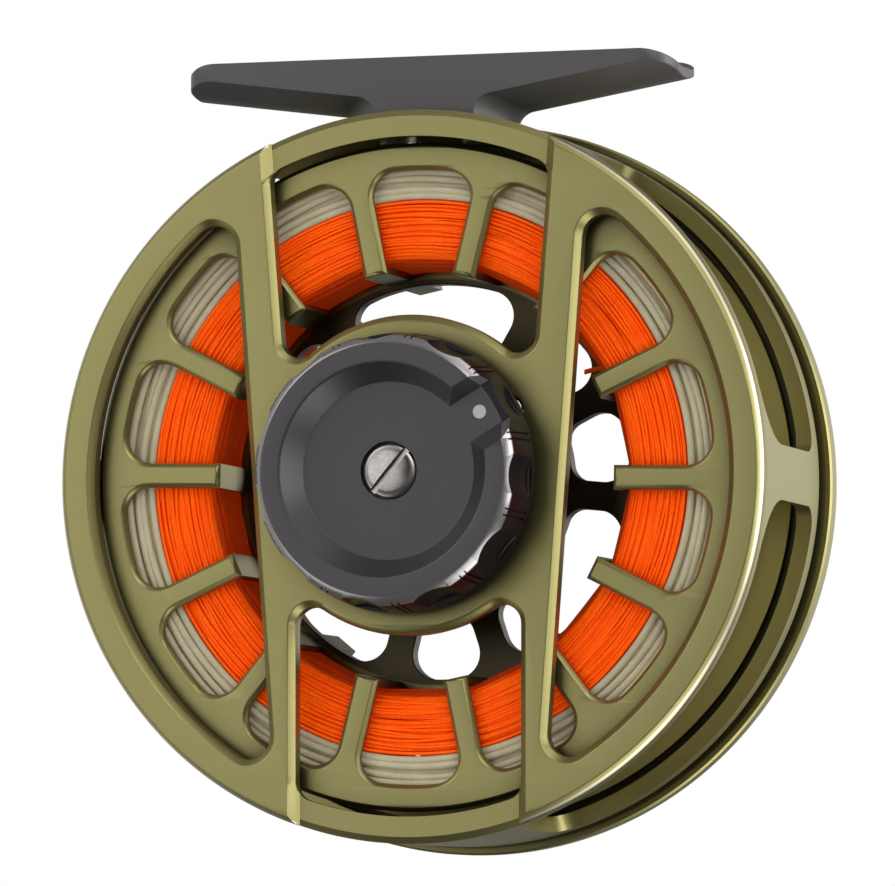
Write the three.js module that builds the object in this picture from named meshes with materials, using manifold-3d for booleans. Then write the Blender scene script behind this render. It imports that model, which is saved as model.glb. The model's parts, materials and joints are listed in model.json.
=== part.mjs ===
// Large-arbor fly reel, in millimetres.
// The part's origin is the middle of the flat along the top of the reel foot, where a rod's reel seat
// bears; +Z leaves that face, the drag knob is towards -Y and the handle towards +Y.
// Every dimension below is written from the spindle instead: x and z from its axis, and y from the
// outer face of the frame's front plate. The group "reel" carries that frame to the part's origin.
import * as THREE from 'three';
import { mergeVertices } from 'three/addons/utils/BufferGeometryUtils.js';
import Module from 'manifold-3d';

const wasm = await Module();
wasm.setup();

// ---- driving dimensions -----------------------------------------------------------------------
const FRAME_R = 43.5;          // outer radius of both frame rings
const FRAME_W = 27;            // front plate face to the back of the far ring
const PLATE = 2.5;             // thickness of the front plate
const CHAMFER = 0.8;           // chamfer on the front plate's edges
const HUB_R = 19;              // round hub of the front plate
const D_WINDOW_R = 39.2;       // curved side of the two D-shaped windows
const RECESS = 1.2;            // the ring is set back by this much between the bars
const RECESS_BORE = 40.3;      // its inner radius there
const CAGE_BORE = 41.6;        // inside of the cage wall between the rings
const FAR_RING_Y = 24.2;       // front face of the far ring
const PILLAR_HALF = 3.25;      // half width of each side pillar

const FINGERS = 14;            // webs of the spool's two flanges
const FINGER_HALF = 1.45;      // half width of one
const FINGER_TURN = -1.3;      // degrees from +X to the first
const ARBOR_R = 24.4;          // inner end of the fingers
const FLANGE_WINDOW_R = 36.5;  // outer end of the flange windows
const FLANGE_R = 39.7;
const FLANGE_Y = 3.3;          // front face of the near flange
const FLANGE = 1.4;            // flange thickness
const FAR_FLANGE_Y = 24.6;
const FAR_FLANGE_R = 40.6;
const RIM_R = 44.45;           // palming rim, 88.9 mm across
const RIM_Y = 29.15;
const RIM_END = 31.8;
const WEB_Y = 13.6;            // web that joins the arbor to the hub
const WEB = 2.2;
const BACKING_R = 33;          // where backing ends and fly line begins
const LINE_R = 36.9;

const KNOB_R = 16.6;           // drag knob, at its base
const KNOB_FACE = -9.6;        // front of its ring
const KNOB_FLOOR = -6.9;       // floor of its dish
const KNOB_GRIPS = 11;
const HOUSING_R = 16.2;
const HOUSING_END = 13;
const SPINDLE_R = 3;
const HANDLE_AT = 33.6;        // handle's distance from the spindle
const HANDLE_TURN = FINGER_TURN + 180;

const FOOT_TOP = 50.5;
const FOOT_HALF = 30.5;        // half its length
const FOOT_CORNER = 4;         // its corners, seen from above
const FOOT_Y = [7, 21.3];      // its two long sides
const FOOT_MID = (FOOT_Y[0] + FOOT_Y[1]) / 2;
const FOOT_SAG = 2.1;          // belly of its underside below the two long edges
const FOOT_DISH = 1.6;         // depth of the rod channel along its top
const FOOT_ARCH = 1.75;        // depth the channel's arc would reach without the flat at its bottom
const FOOT_ROOT = 46;          // height where an arm's long lower edge meets the stem
const FOOT_SLOPES = { left: 0.133, right: 0.171 };
const STEM_EDGE = 6.2;         // half width of the stem at the long sides
const STEM_MIDDLE = 9.4;       // and halfway between them
const STEM_FILLET = 2.3;
const FOOT_SCREWS_X = [-5.2, 5.2];

const SEGMENTS = 72;           // sides of a large circle

// ---- materials --------------------------------------------------------------------------------
const FINISH = {
  olive: [0x8c8a5a, 0.42, 0.85],
  graphite: [0x4d4b4e, 0.5, 0.6],
  black: [0x1c1b1e, 0.3, 0.5],
  steel: [0xb9b7b2, 0.3, 1],
  brass: [0xb08d4a, 0.35, 1],
  carbon: [0x2a2a2c, 0.6, 0.1],
  rubber: [0x161616, 0.8, 0],
  grip: [0x2b2a2c, 0.7, 0],
  backing: [0xff5a14, 0.75, 0],
  line: [0xb9b99b, 0.6, 0],
};

const group = new THREE.Group();
group.name = 'fly_reel';
const reel = new THREE.Group();
reel.position.set(0, -FOOT_MID, FOOT_DISH - FOOT_TOP);
group.add(reel);

function add(name, solidPart, finish) {
  const mesh = solidPart.simplify(0.01).getMesh();
  const geometry = new THREE.BufferGeometry();
  geometry.setAttribute('position', new THREE.BufferAttribute(new Float32Array(mesh.vertProperties), 3));
  geometry.setIndex(new THREE.BufferAttribute(new Uint32Array(mesh.triVerts), 1));
  geometry.computeVertexNormals();
  const [color, roughness, metalness] = FINISH[finish];
  const part = new THREE.Mesh(geometry, new THREE.MeshStandardMaterial({ color, roughness, metalness }));
  part.name = name;
  reel.add(part);
}

// ---- building blocks --------------------------------------------------------------------------
const rad = THREE.MathUtils.degToRad;

function solid(geometry) {
  geometry.deleteAttribute('normal');
  geometry.deleteAttribute('uv');
  const merged = mergeVertices(geometry, 1e-4);
  const index = merged.index.array;
  const kept = [];
  for (let i = 0; i < index.length; i += 3) {
    const [a, b, c] = index.slice(i, i + 3);
    if (a !== b && b !== c && c !== a) kept.push(a, b, c);
  }
  return new wasm.Manifold(new wasm.Mesh({
    numProp: 3,
    vertProperties: merged.attributes.position.array,
    triVerts: new Uint32Array(kept),
  }));
}

// A solid turned about the spindle. Points are [radius, y], counter-clockwise with y upwards; they
// run from the axis to the axis, or close on themselves.
function turned(points, segments = SEGMENTS) {
  const path = points.map(([r, y]) => new THREE.Vector2(r, y));
  if (points[0][0] > 0) path.push(path[0].clone());
  return solid(new THREE.LatheGeometry(path, segments));
}

// A plain ring; r0 = 0 makes a disc.
function ring(r0, r1, y0, y1, segments = SEGMENTS) {
  return turned([[r0, y0], [r1, y0], [r1, y1], [r0, y1]], segments);
}

// A flat outline in x and z, thick from y0 to y1, with its edges chamfered.
function plate(shape, y0, y1, chamfer = 0, curveSegments = 12) {
  const geometry = new THREE.ExtrudeGeometry(shape, {
    depth: y1 - y0 - 2 * chamfer,
    bevelEnabled: chamfer > 0,
    bevelThickness: chamfer,
    bevelSize: chamfer,
    bevelOffset: -chamfer,
    bevelSegments: 1,
    curveSegments,
  });
  return solid(geometry.rotateX(Math.PI / 2).translate(0, y1 - chamfer, 0));
}

function box(x0, x1, y0, y1, z0, z1) {
  const geometry = new THREE.BoxGeometry(x1 - x0, y1 - y0, z1 - z0);
  return solid(geometry.translate((x0 + x1) / 2, (y0 + y1) / 2, (z0 + z1) / 2));
}

// An upright cylinder standing on (x, y), from z0 to z1.
function post(x, y, radius, z0, z1, segments = 16) {
  const geometry = new THREE.CylinderGeometry(radius, radius, z1 - z0, segments);
  return solid(geometry.rotateX(Math.PI / 2).translate(x, y, (z0 + z1) / 2));
}

// A pin parallel to the spindle, at a radius and an angle from +X towards +Z.
function offAxis(part, radius, degrees) {
  return part.translate([radius * Math.cos(rad(degrees)), 0, radius * Math.sin(rad(degrees))]);
}

// Turns a solid about the spindle, from +X towards +Z.
function spun(part, degrees) {
  return part.rotate([0, -degrees, 0]);
}

function union(parts) {
  return wasm.Manifold.union(parts);
}

function circle(radius, segments = SEGMENTS) {
  const points = [];
  for (let i = 0; i < segments; i += 1) {
    const a = (2 * Math.PI * i) / segments;
    points.push(new THREE.Vector2(radius * Math.cos(a), radius * Math.sin(a)));
  }
  return points;
}

// Points along an arc, the end included, from angle a0 to a1 in radians.
function arc(cx, cy, radius, a0, a1, steps) {
  const points = [];
  for (let i = 0; i <= steps; i += 1) {
    const a = a0 + ((a1 - a0) * i) / steps;
    points.push(new THREE.Vector2(cx + radius * Math.cos(a), cy + radius * Math.sin(a)));
  }
  return points;
}

function mirrored(points) {
  return points.map((p) => new THREE.Vector2(-p.x, p.y)).reverse();
}

// A rectangle with rounded corners, of radius far on its +Y side and near on the other.
function openingOutline(halfX, halfY, far, near, steps = 4) {
  return [
    ...arc(halfX - far, halfY - far, far, 0, Math.PI / 2, steps),
    ...arc(far - halfX, halfY - far, far, Math.PI / 2, Math.PI, steps),
    ...arc(near - halfX, near - halfY, near, Math.PI, 1.5 * Math.PI, steps),
    ...arc(halfX - near, near - halfY, near, 1.5 * Math.PI, 2 * Math.PI, steps),
  ];
}

// The centre of a fillet that touches the line x = offset + slope z from one side (side = 1 is the
// +X side) and lies at a distance reach from the spindle, above (up = 1) or below it.
function filletCentre(offset, slope, side, radius, reach, up) {
  const normal = new THREE.Vector2(side, -side * slope).normalize();
  const along = new THREE.Vector2(slope, 1).normalize();
  const distance = normal.x * offset + radius;
  const centre = normal.clone().multiplyScalar(distance);
  return centre.addScaledVector(along, up * Math.sqrt(reach * reach - distance * distance));
}

// ---- frame ------------------------------------------------------------------------------------
const BAR_OUTER = { offset: 19.4, slope: 0.074 };
const UPPER_WALL = { offset: 14.4, slope: 0.08 };
const LOWER_WALL = { offset: 13.9, slope: 0 };

// The window between a bar's tapered outer edge and the ring.
function dWindow() {
  const radius = 2.6;
  const { offset, slope } = BAR_OUTER;
  const top = filletCentre(offset, slope, 1, radius, D_WINDOW_R - radius, 1);
  const foot = filletCentre(offset, slope, 1, radius, D_WINDOW_R - radius, -1);
  const wall = Math.PI - Math.atan(slope);
  return [
    ...arc(foot.x, foot.y, radius, foot.angle() - 2 * Math.PI, wall - 2 * Math.PI, 4),
    ...arc(top.x, top.y, radius, wall, top.angle(), 4),
    ...arc(0, 0, D_WINDOW_R, top.angle(), foot.angle() - 2 * Math.PI, 24).slice(1, -1),
  ];
}

// The window between the two bars, the hub and the ring, drawn upwards.
function bridgeWindow({ offset, slope }) {
  const radius = 2.2;
  const low = filletCentre(offset, slope, -1, radius, HUB_R + radius, 1);
  const high = filletCentre(offset, slope, -1, radius, RECESS_BORE - radius, 1);
  const wall = -Math.atan(slope);
  const half = [
    ...arc(0, 0, HUB_R, Math.PI / 2, low.angle(), 6).slice(0, -1),
    ...arc(low.x, low.y, radius, low.angle() - Math.PI, wall, 4),
    ...arc(high.x, high.y, radius, wall, high.angle(), 3),
    ...arc(0, 0, RECESS_BORE, high.angle(), Math.PI / 2, 6).slice(1),
  ];
  return [...half, ...mirrored(half).slice(1, -1)];
}

function flipped(points) {
  return points.map((p) => new THREE.Vector2(p.x, -p.y)).reverse();
}

function frontPlate() {
  const shape = new THREE.Shape(circle(FRAME_R));
  const openings = [
    dWindow(),
    mirrored(dWindow()),
    bridgeWindow(UPPER_WALL),
    flipped(bridgeWindow(LOWER_WALL)),
  ];
  shape.holes = openings.map((points) => new THREE.Path(points));
  const backEdge = box(-50, 50, PLATE, PLATE + 2, -50, 50);
  return plate(shape, 0, PLATE + CHAMFER, CHAMFER).subtract(backEdge);
}

// Steps the ring back between the bars, with a 45-degree face along each bar.
function ringRecess({ offset, slope }, up) {
  const edge = (z) => offset + slope * z + CHAMFER;
  const [low, high] = [35.2, 47];
  const outline = [[-edge(low), low], [edge(low), low], [edge(high), high], [-edge(high), high]];
  const shape = new THREE.Shape(outline.map(([x, z]) => new THREE.Vector2(x, up * z)));
  const step = plate(shape, -4, RECESS, RECESS);
  const corner = FRAME_R - CHAMFER;
  const rimCut = turned([[corner, RECESS], [FRAME_R + 2, RECESS], [FRAME_R + 2, RECESS + 2 + CHAMFER]]);
  return step.add(rimCut.intersect(plate(shape, 0, PLATE + 2)));
}

// One opening of the cage wall, from angle a0 to a1; its corners are rounder beside the front plate.
function cageOpening(a0, a1) {
  const [y0, y1] = [PLATE, FAR_RING_Y];
  const long = 16;
  const outline = new THREE.Shape(openingOutline(long / 2, (y1 - y0) / 2, 2.6, 7));
  const ends = [[a0, 1], [a1, -1]].map(([angle, side]) => {
    const geometry = new THREE.ExtrudeGeometry(outline, { depth: 10, bevelEnabled: false });
    geometry.rotateY(Math.PI / 2).translate(FRAME_R - 7, (y0 + y1) / 2, (side * long) / 2);
    return spun(solid(geometry), angle);
  });
  const clear = THREE.MathUtils.radToDeg(long / 2 / FRAME_R);
  const sector = new THREE.Shape([
    ...arc(0, 0, FRAME_R + 4, rad(a0 + clear), rad(a1 - clear), 10),
    ...arc(0, 0, FRAME_R - 6, rad(a1 - clear), rad(a0 + clear), 10),
  ]);
  return union([...ends, plate(sector, y0, y1)]);
}

function frame() {
  const pillar = THREE.MathUtils.radToDeg(PILLAR_HALF / FRAME_R);
  const cage = ring(CAGE_BORE, FRAME_R, PLATE / 2, FAR_RING_Y + 1);
  const openings = [
    cageOpening(pillar, 62),
    cageOpening(118, 180 - pillar),
    cageOpening(180 + pillar, 254),
    cageOpening(286, 360 - pillar),
  ];
  const edge = 0.5;
  const farRing = turned([
    [CAGE_BORE, FAR_RING_Y], [FRAME_R - edge, FAR_RING_Y], [FRAME_R, FAR_RING_Y + edge],
    [FRAME_R, FRAME_W - edge], [FRAME_R - edge, FRAME_W], [CAGE_BORE, FRAME_W],
  ]);
  const bores = [ring(0, SPINDLE_R + 0.05, -1, PLATE + 1, 24)];
  for (let i = 0; i < 3; i += 1) {
    bores.push(offAxis(ring(0, THRUST_PIN_R + 0.1, -1, PLATE + 1, 12), THRUST_AT, 90 + 120 * i));
    bores.push(offAxis(ring(0, 1, -1, PLATE + 1, 12), HOUSING_SCREW_AT, 30 + 120 * i));
    bores.push(offAxis(ring(0, 2, -1, 1, 12), HOUSING_SCREW_AT, 30 + 120 * i));
  }
  for (const x of FOOT_SCREWS_X) {
    bores.push(post(x, FOOT_MID, 1.3, 38, 46));
    bores.push(post(x, FOOT_MID, 2.6, 38, 41.9));
  }
  return union([frontPlate(), cage, farRing])
    .subtract(union([...openings, ...bores]))
    .subtract(ringRecess(UPPER_WALL, 1))
    .subtract(ringRecess(LOWER_WALL, -1));
}

// ---- reel foot --------------------------------------------------------------------------------
// Half of the foot's outline across its long sides, from the stem to the tip, where b runs from 0 at
// the long edges to 1 on the middle line.
function footOutline(b, reach, slope) {
  const lower = (x) => FOOT_ROOT - FOOT_SAG * b + slope * (x - 9);
  const stem = STEM_EDGE + (STEM_MIDDLE - STEM_EDGE) * b;
  const lean = Math.atan(slope);
  const x = stem + STEM_FILLET;
  const z = lower(x) - STEM_FILLET / Math.cos(lean);
  const top = FOOT_TOP - Math.min(FOOT_ARCH * b, FOOT_DISH);
  return [
    new THREE.Vector2(stem, 40),
    ...arc(x, z, STEM_FILLET, Math.PI, Math.PI / 2 + lean, 4),
    new THREE.Vector2(reach, lower(reach)),
    new THREE.Vector2(reach, top),
  ];
}

// A solid through outlines with equal numbers of points, each in x and z at its own y.
function lofted(outlines, ys) {
  const count = outlines[0].length;
  const positions = [];
  outlines.forEach((points, i) => points.forEach((p) => positions.push(p.x, ys[i], p.y)));
  const index = [];
  for (let i = 0; i + 1 < ys.length; i += 1) {
    for (let j = 0; j < count; j += 1) {
      const [a, b] = [i * count + j, i * count + ((j + 1) % count)];
      index.push(a, b, b + count, a, b + count, a + count);
    }
  }
  const last = (ys.length - 1) * count;
  for (const [a, b, c] of THREE.ShapeUtils.triangulateShape(outlines[0], [])) {
    index.push(a, c, b);
  }
  for (const [a, b, c] of THREE.ShapeUtils.triangulateShape(outlines.at(-1), [])) {
    index.push(last + a, last + b, last + c);
  }
  const geometry = new THREE.BufferGeometry();
  geometry.setAttribute('position', new THREE.Float32BufferAttribute(positions, 3));
  geometry.setIndex(index.map((_, k) => index[k - (k % 3) + [0, 2, 1][k % 3]]));
  return solid(geometry);
}

function reelFoot() {
  const half = (FOOT_Y[1] - FOOT_Y[0]) / 2;
  const inset = half - FOOT_CORNER;
  const flatEdge = Math.sqrt(1 - FOOT_DISH / FOOT_ARCH);
  const across = [0, flatEdge * half, 2.8, inset, 4.4, 5.4, 6.2, 6.8, half];
  const steps = [...across.slice(1).reverse().map((d) => -d), ...across];
  const outlines = steps.map((d) => {
    const b = 1 - (d / half) ** 2;
    const past = Math.max(0, Math.abs(d) - inset);
    const reach = FOOT_HALF - FOOT_CORNER + Math.sqrt(FOOT_CORNER ** 2 - past ** 2);
    const right = footOutline(b, reach, FOOT_SLOPES.right);
    return [...right, ...mirrored(footOutline(b, reach, FOOT_SLOPES.left))];
  });
  const cuts = [ring(0, FRAME_R + 0.05, -5, 40)];
  for (const x of FOOT_SCREWS_X) cuts.push(post(x, FOOT_MID, 1.3, 38, 47.2));
  return lofted(outlines, steps.map((d) => FOOT_MID + d)).subtract(union(cuts));
}

function footScrew(x) {
  const slot = box(x - 3, x + 3, FOOT_MID - 0.35, FOOT_MID + 0.35, 40, 41.2);
  return post(x, FOOT_MID, 1.25, 41, 47).add(post(x, FOOT_MID, 2.45, 40.7, 41.85)).subtract(slot);
}

// ---- drag knob and brake ----------------------------------------------------------------------
const THRUST_AT = 8.3;
const THRUST_PIN_R = 1.2;
const HOUSING_SCREW_AT = 14.5;

function drawnKnob() {
  return turned([
    [1.8, -6], [3.45, -6], [3.45, KNOB_FLOOR], [10.5, KNOB_FLOOR], [12.5, KNOB_FACE + 0.3],
    [12.8, KNOB_FACE], [14.9, KNOB_FACE], [15.9, KNOB_FACE + 1], [KNOB_R, -2.4],
    [KNOB_R - 0.8, -0.4], [12.3, -0.4], [12.3, -4.9], [SPINDLE_R + 0.05, -4.9], [1.8, -4.9],
  ], 5 * KNOB_GRIPS);
}

function dragKnob() {
  const lean = 7.8;
  const hollow = turned([[0, -11], [9.5, -11], [8.6, -3.4], [0, -3.4]], 40);
  const groove = box(0, 3, -9, 0, -0.35, 0.35).rotate([0, 0, -lean]).translate([KNOB_R - 0.6, -3, 0]);
  const cuts = [];
  for (let i = 0; i < KNOB_GRIPS; i += 1) {
    const land = 13.5 + (360 * i) / KNOB_GRIPS;
    cuts.push(offAxis(hollow, KNOB_R + 8.05, land + 180 / KNOB_GRIPS));
    cuts.push(spun(groove, land));
  }
  const half = 2.45;
  const rise = KNOB_FLOOR - KNOB_FACE + 1;
  const notch = new THREE.Shape([
    new THREE.Vector2(-half, 0), new THREE.Vector2(half, 0),
    new THREE.Vector2(half + rise * 0.45, rise), new THREE.Vector2(-half - rise * 0.85, rise),
  ]);
  const channel = new THREE.ExtrudeGeometry(notch, { depth: 12, bevelEnabled: false });
  channel.rotateX(Math.PI).rotateY(-Math.PI / 2).translate(8.5, KNOB_FLOOR, 0);
  return drawnKnob().subtract(union(cuts)).subtract(spun(solid(channel), 31));
}

function slottedScrew(headR, shankR, y0, headEnd, y1, slotTurn) {
  const screw = turned([
    [0, y0], [headR - 0.25, y0], [headR, y0 + 0.2], [headR, headEnd], [shankR, headEnd],
    [shankR, y1], [0, y1],
  ], 16);
  const slot = box(-headR - 1, headR + 1, y0 - 1, y0 + 0.55, -headR * 0.11, headR * 0.11);
  return screw.subtract(spun(slot, slotTurn));
}

// The same screw with its head towards +Y.
function handleSideScrew(headR, shankR, y0, headEnd, y1) {
  return slottedScrew(headR, shankR, -y0, -headEnd, -y1, 40).rotate([180, 0, 0]);
}

function dragHousing() {
  const wall = turned([
    [12.9, PLATE + 0.05], [HOUSING_R, PLATE + 0.05], [HOUSING_R, HOUSING_END - 0.5],
    [HOUSING_R - 0.5, HOUSING_END], [6.7, HOUSING_END], [6.7, 11], [12.9, 11],
  ], 40);
  const bores = [];
  for (let i = 0; i < 3; i += 1) {
    bores.push(offAxis(ring(0, 0.95, 0, 9, 12), HOUSING_SCREW_AT, 30 + 120 * i));
  }
  return wall.subtract(union(bores));
}

function dragRotor() {
  return turned([
    [SPINDLE_R + 0.06, 8.95], [12.5, 8.95], [12.5, 9.95], [5.5, 9.95], [5.5, 13.3], [5, 13.8],
    [5, 21.4], [SPINDLE_R + 0.06, 21.4],
  ], 24);
}

function spindle() {
  return turned([
    [0, 3], [1.7, 3], [1.7, -4.8], [SPINDLE_R - 0.3, -4.8], [SPINDLE_R, -4.5],
    [SPINDLE_R, PLATE + 0.05], [5.4, PLATE + 0.05], [5.4, 3.8], [SPINDLE_R, 3.8],
    [SPINDLE_R, 26.1], [SPINDLE_R - 0.3, 26.4], [1.7, 26.4], [1.7, 20], [0, 20],
  ], 20);
}

// ---- spool ------------------------------------------------------------------------------------
// Inner outline of a flange: straight-sided fingers that reach in to the arbor.
function flangeOpening() {
  const fillet = 3;
  const [reach, off] = [FLANGE_WINDOW_R - fillet, FINGER_HALF + fillet];
  const out = Math.sqrt(reach * reach - off * off);
  const lean = Math.atan2(off, out);
  const points = [];
  const place = (local, turn) => {
    points.push(...local.map((p) => p.clone().rotateAround(new THREE.Vector2(), turn)));
  };
  for (let i = 0; i < FINGERS; i += 1) {
    const here = rad(FINGER_TURN + (360 * i) / FINGERS);
    const next = rad(FINGER_TURN + (360 * (i + 1)) / FINGERS);
    place([new THREE.Vector2(ARBOR_R, FINGER_HALF)], here);
    place(arc(out, off, fillet, -Math.PI / 2, lean, 3), here);
    points.push(...arc(0, 0, FLANGE_WINDOW_R, here + lean, next - lean, 2).slice(1, -1));
    place(arc(out, -off, fillet, -lean, Math.PI / 2, 3), next);
    place([new THREE.Vector2(ARBOR_R, -FINGER_HALF)], next);
  }
  return points;
}

function flange(radius, y0, chamfer) {
  const shape = new THREE.Shape(circle(radius));
  shape.holes = [new THREE.Path(flangeOpening())];
  return plate(shape, y0, y0 + FLANGE, chamfer);
}

// An opening of the web between two spokes.
function webOpening(from, to) {
  const [inner, outer] = [16.4, 23.7];
  const [half, rIn, rOut] = [1.7, 2.2, 3];
  const corner = (radius, reach) => Math.sqrt(reach * reach - (half + radius) ** 2);
  const [inX, outX] = [corner(rIn, inner + rIn), corner(rOut, outer - rOut)];
  const inLean = Math.atan2(half + rIn, inX);
  const outLean = Math.atan2(half + rOut, outX);
  const turn = (points, angle) => points.map((p) => p.clone().rotateAround(new THREE.Vector2(), angle));
  const steps = to - from > 40 ? 6 : 2;
  return [
    ...turn(arc(inX, half + rIn, rIn, inLean + Math.PI, 1.5 * Math.PI, 2), rad(from)),
    ...turn(arc(outX, half + rOut, rOut, -Math.PI / 2, outLean, 3), rad(from)),
    ...arc(0, 0, outer, rad(from) + outLean, rad(to) - outLean, steps).slice(1, -1),
    ...turn(arc(outX, -half - rOut, rOut, -outLean, Math.PI / 2, 3), rad(to)),
    ...turn(arc(inX, -half - rIn, rIn, Math.PI / 2, Math.PI - inLean, 2), rad(to)),
    ...arc(0, 0, inner, rad(to) - inLean, rad(from) + inLean, steps).slice(1, -1),
  ];
}

// Eleven even divisions, three of them joined with their neighbour.
function web() {
  const pitch = 360 / 11;
  const shape = new THREE.Shape(circle(ARBOR_R + 0.8, 56));
  const spans = [1, 1, 2, 1, 1, 2, 1, 2];
  let at = -6;
  for (const span of spans) {
    shape.holes.push(new THREE.Path(webOpening(at, at + span * pitch)));
    at += span * pitch;
  }
  shape.holes.push(new THREE.Path(circle(9, 24)));
  return plate(shape, WEB_Y, WEB_Y + WEB);
}

function spool() {
  const farEnd = FAR_FLANGE_Y + FLANGE;
  const bars = [];
  for (let i = 0; i < FINGERS; i += 1) {
    const bar = box(ARBOR_R, ARBOR_R + 0.9, FLANGE_Y + 0.5, farEnd, -FINGER_HALF, FINGER_HALF);
    bars.push(spun(bar, FINGER_TURN + (360 * i) / FINGERS));
  }
  const rim = turned([
    [37.6, FAR_FLANGE_Y + 0.3], [FAR_FLANGE_R, FAR_FLANGE_Y + 0.3], [FAR_FLANGE_R, RIM_Y], [RIM_R - 0.2, RIM_Y],
    [RIM_R, RIM_Y + 0.2], [RIM_R, RIM_END - 0.3], [RIM_R - 0.3, RIM_END], [RIM_R - 2.8, RIM_END],
    [37.6, farEnd],
  ]);
  const hub = turned([
    [7.6, WEB_Y], [12, WEB_Y], [12, 16.6], [9.6, 17.4], [9.6, 26.4], [6.05, 26.4],
    [6.05, 22.6], [4.6, 22.6], [4.6, 21.8], [7.6, 21.8],
  ], 28);
  const seats = [0, 180].map((turn) => offAxis(
    turned([[1.55, 24.9], [4.2, 24.9], [4.2, 28.6], [3.9, 28.9], [1.55, 28.9]], 16),
    HANDLE_AT,
    HANDLE_TURN + turn,
  ));
  const bores = [0, 180].map((turn) => offAxis(ring(0, 1.55, 20, 30, 16), HANDLE_AT, HANDLE_TURN + turn));
  return union([flange(FLANGE_R, FLANGE_Y, 0.5), flange(FAR_FLANGE_R, FAR_FLANGE_Y, 0), web(), rim, hub])
    .add(union([...bars, ...seats]))
    .subtract(union(bores));
}

function ballCage() {
  const balls = [ring(4.15, 4.95, 23.7, 24.5, 14)];
  for (let i = 0; i < 7; i += 1) {
    const ball = solid(new THREE.SphereGeometry(0.95, 6, 4).translate(0, 24.1, 0));
    balls.push(offAxis(ball, 4.55, (360 * i) / 7));
  }
  return union(balls);
}

function spoolCap() {
  const cap = turned([
    [0, 21], [1.6, 21], [1.6, 26.6], [9, 26.6], [9.6, 27.2], [9.6, 30], [9, 30.6], [4, 30.9],
    [0, 30.9],
  ], 24);
  const flutes = [];
  for (let i = 0; i < 12; i += 1) flutes.push(offAxis(ring(0, 1.1, 26, 32, 6), 10.3, 30 * i));
  return cap.subtract(union(flutes));
}

function handleKnob() {
  const grip = turned([
    [2.6, 30], [4.6, 30], [5.2, 30.6], [5, 33], [4.8, 36], [5.3, 40], [6.2, 44], [6.5, 46.6],
    [6.2, 48.4], [5.4, 49.4], [3.4, 49.4], [3.4, 47.6], [2.6, 47.6],
  ], 20);
  return offAxis(grip, HANDLE_AT, HANDLE_TURN);
}

function handlePost() {
  const stud = turned([
    [0, 25], [1.5, 25], [1.5, 28.95], [4, 28.95], [4, 29.8], [2.55, 29.8], [2.55, 47.8],
    [0.9, 47.8], [0.9, 38], [0, 38],
  ], 16);
  return offAxis(stud, HANDLE_AT, HANDLE_TURN);
}

function counterweight() {
  const slug = turned([
    [1.6, 28.95], [4.6, 28.95], [4.9, 29.3], [4.9, 31.4], [4.3, 32], [2.6, 32], [2.6, 31.1],
    [1.6, 31.1],
  ], 16);
  return offAxis(slug, HANDLE_AT, HANDLE_TURN + 180);
}

// ---- assembly ---------------------------------------------------------------------------------
add('frame', frame(), 'olive');
add('reel_foot', reelFoot(), 'graphite');
FOOT_SCREWS_X.forEach((x, i) => add(`foot_screw_${i + 1}`, footScrew(x), 'steel'));

add('drag_knob', dragKnob(), 'graphite');
add('drag_knob_screw', slottedScrew(3.26, 1.6, KNOB_FLOOR, -6.05, -1, 50), 'steel');
add('thrust_ring', ring(6.4, 10.4, -4, -2.7, 24), 'steel');
add('drag_housing', dragHousing(), 'black');
add('spindle', spindle(), 'steel');
for (let i = 0; i < 3; i += 1) {
  const pin = ring(0, THRUST_PIN_R, -2.65, 4.6, 12);
  add(`thrust_pin_${i + 1}`, offAxis(pin, THRUST_AT, 90 + 120 * i), 'steel');
  const screw = slottedScrew(1.85, 0.9, 0.1, 0.95, 8.5, 0);
  add(`housing_screw_${i + 1}`, offAxis(screw, HOUSING_SCREW_AT, 30 + 120 * i), 'steel');
}
add('spring_washer', turned([[6.2, 5.1], [11.6, 6.1], [11.6, 6.7], [6.2, 5.7]], 24), 'steel');
add('pressure_plate', ring(6, 12.5, 6.8, 7.95, 24), 'steel');
add('carbon_disc_1', ring(6, 12.4, 8, 8.9, 24), 'carbon');
add('drag_rotor', dragRotor(), 'steel');
add('carbon_disc_2', ring(6, 12.4, 10, 10.9, 24), 'carbon');
add('shaft_seal', turned([[5.56, 11.3], [6.65, 11.3], [6.65, 12.4], [5.56, 12.4]], 20), 'rubber');
add('one_way_clutch', ring(5.06, 7.5, 14.2, 21.6, 20), 'steel');

add('spool', spool(), 'olive');
add('bearing_outer_race', turned([
  [5.2, 22.7], [6, 22.7], [6, 25.5], [5.2, 25.5], [5.6, 24.6], [5.6, 23.6],
], 20), 'steel');
add('bearing_inner_race', turned([
  [SPINDLE_R + 0.06, 22.7], [3.9, 22.7], [3.5, 23.6], [3.5, 24.6], [3.9, 25.5],
  [SPINDLE_R + 0.06, 25.5],
], 24), 'steel');
add('bearing_balls', ballCage(), 'brass');
add('spool_cap', spoolCap(), 'graphite');
add('handle_post', handlePost(), 'steel');
add('handle_knob', handleKnob(), 'grip');
add('handle_screw', offAxis(handleSideScrew(3.1, 0.85, 49, 47.85, 38.5), HANDLE_AT, HANDLE_TURN), 'steel');
add('counterweight', counterweight(), 'graphite');
add('counterweight_screw',
  offAxis(handleSideScrew(2.45, 1.5, 31.95, 31.15, 25.5), HANDLE_AT, HANDLE_TURN + 180), 'steel');
add('backing', ring(ARBOR_R + 1, BACKING_R, FLANGE_Y + FLANGE + 0.1, FAR_FLANGE_Y - 0.1, 56), 'backing');
add('fly_line', ring(BACKING_R + 0.05, LINE_R, FLANGE_Y + FLANGE + 0.1, FAR_FLANGE_Y - 0.1, 56), 'line');

export default group;
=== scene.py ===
"""Looks for the large-arbor fly reel: finely rounded pieces, finishes, wound line and a studio."""

import cmath
import json
import math

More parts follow.
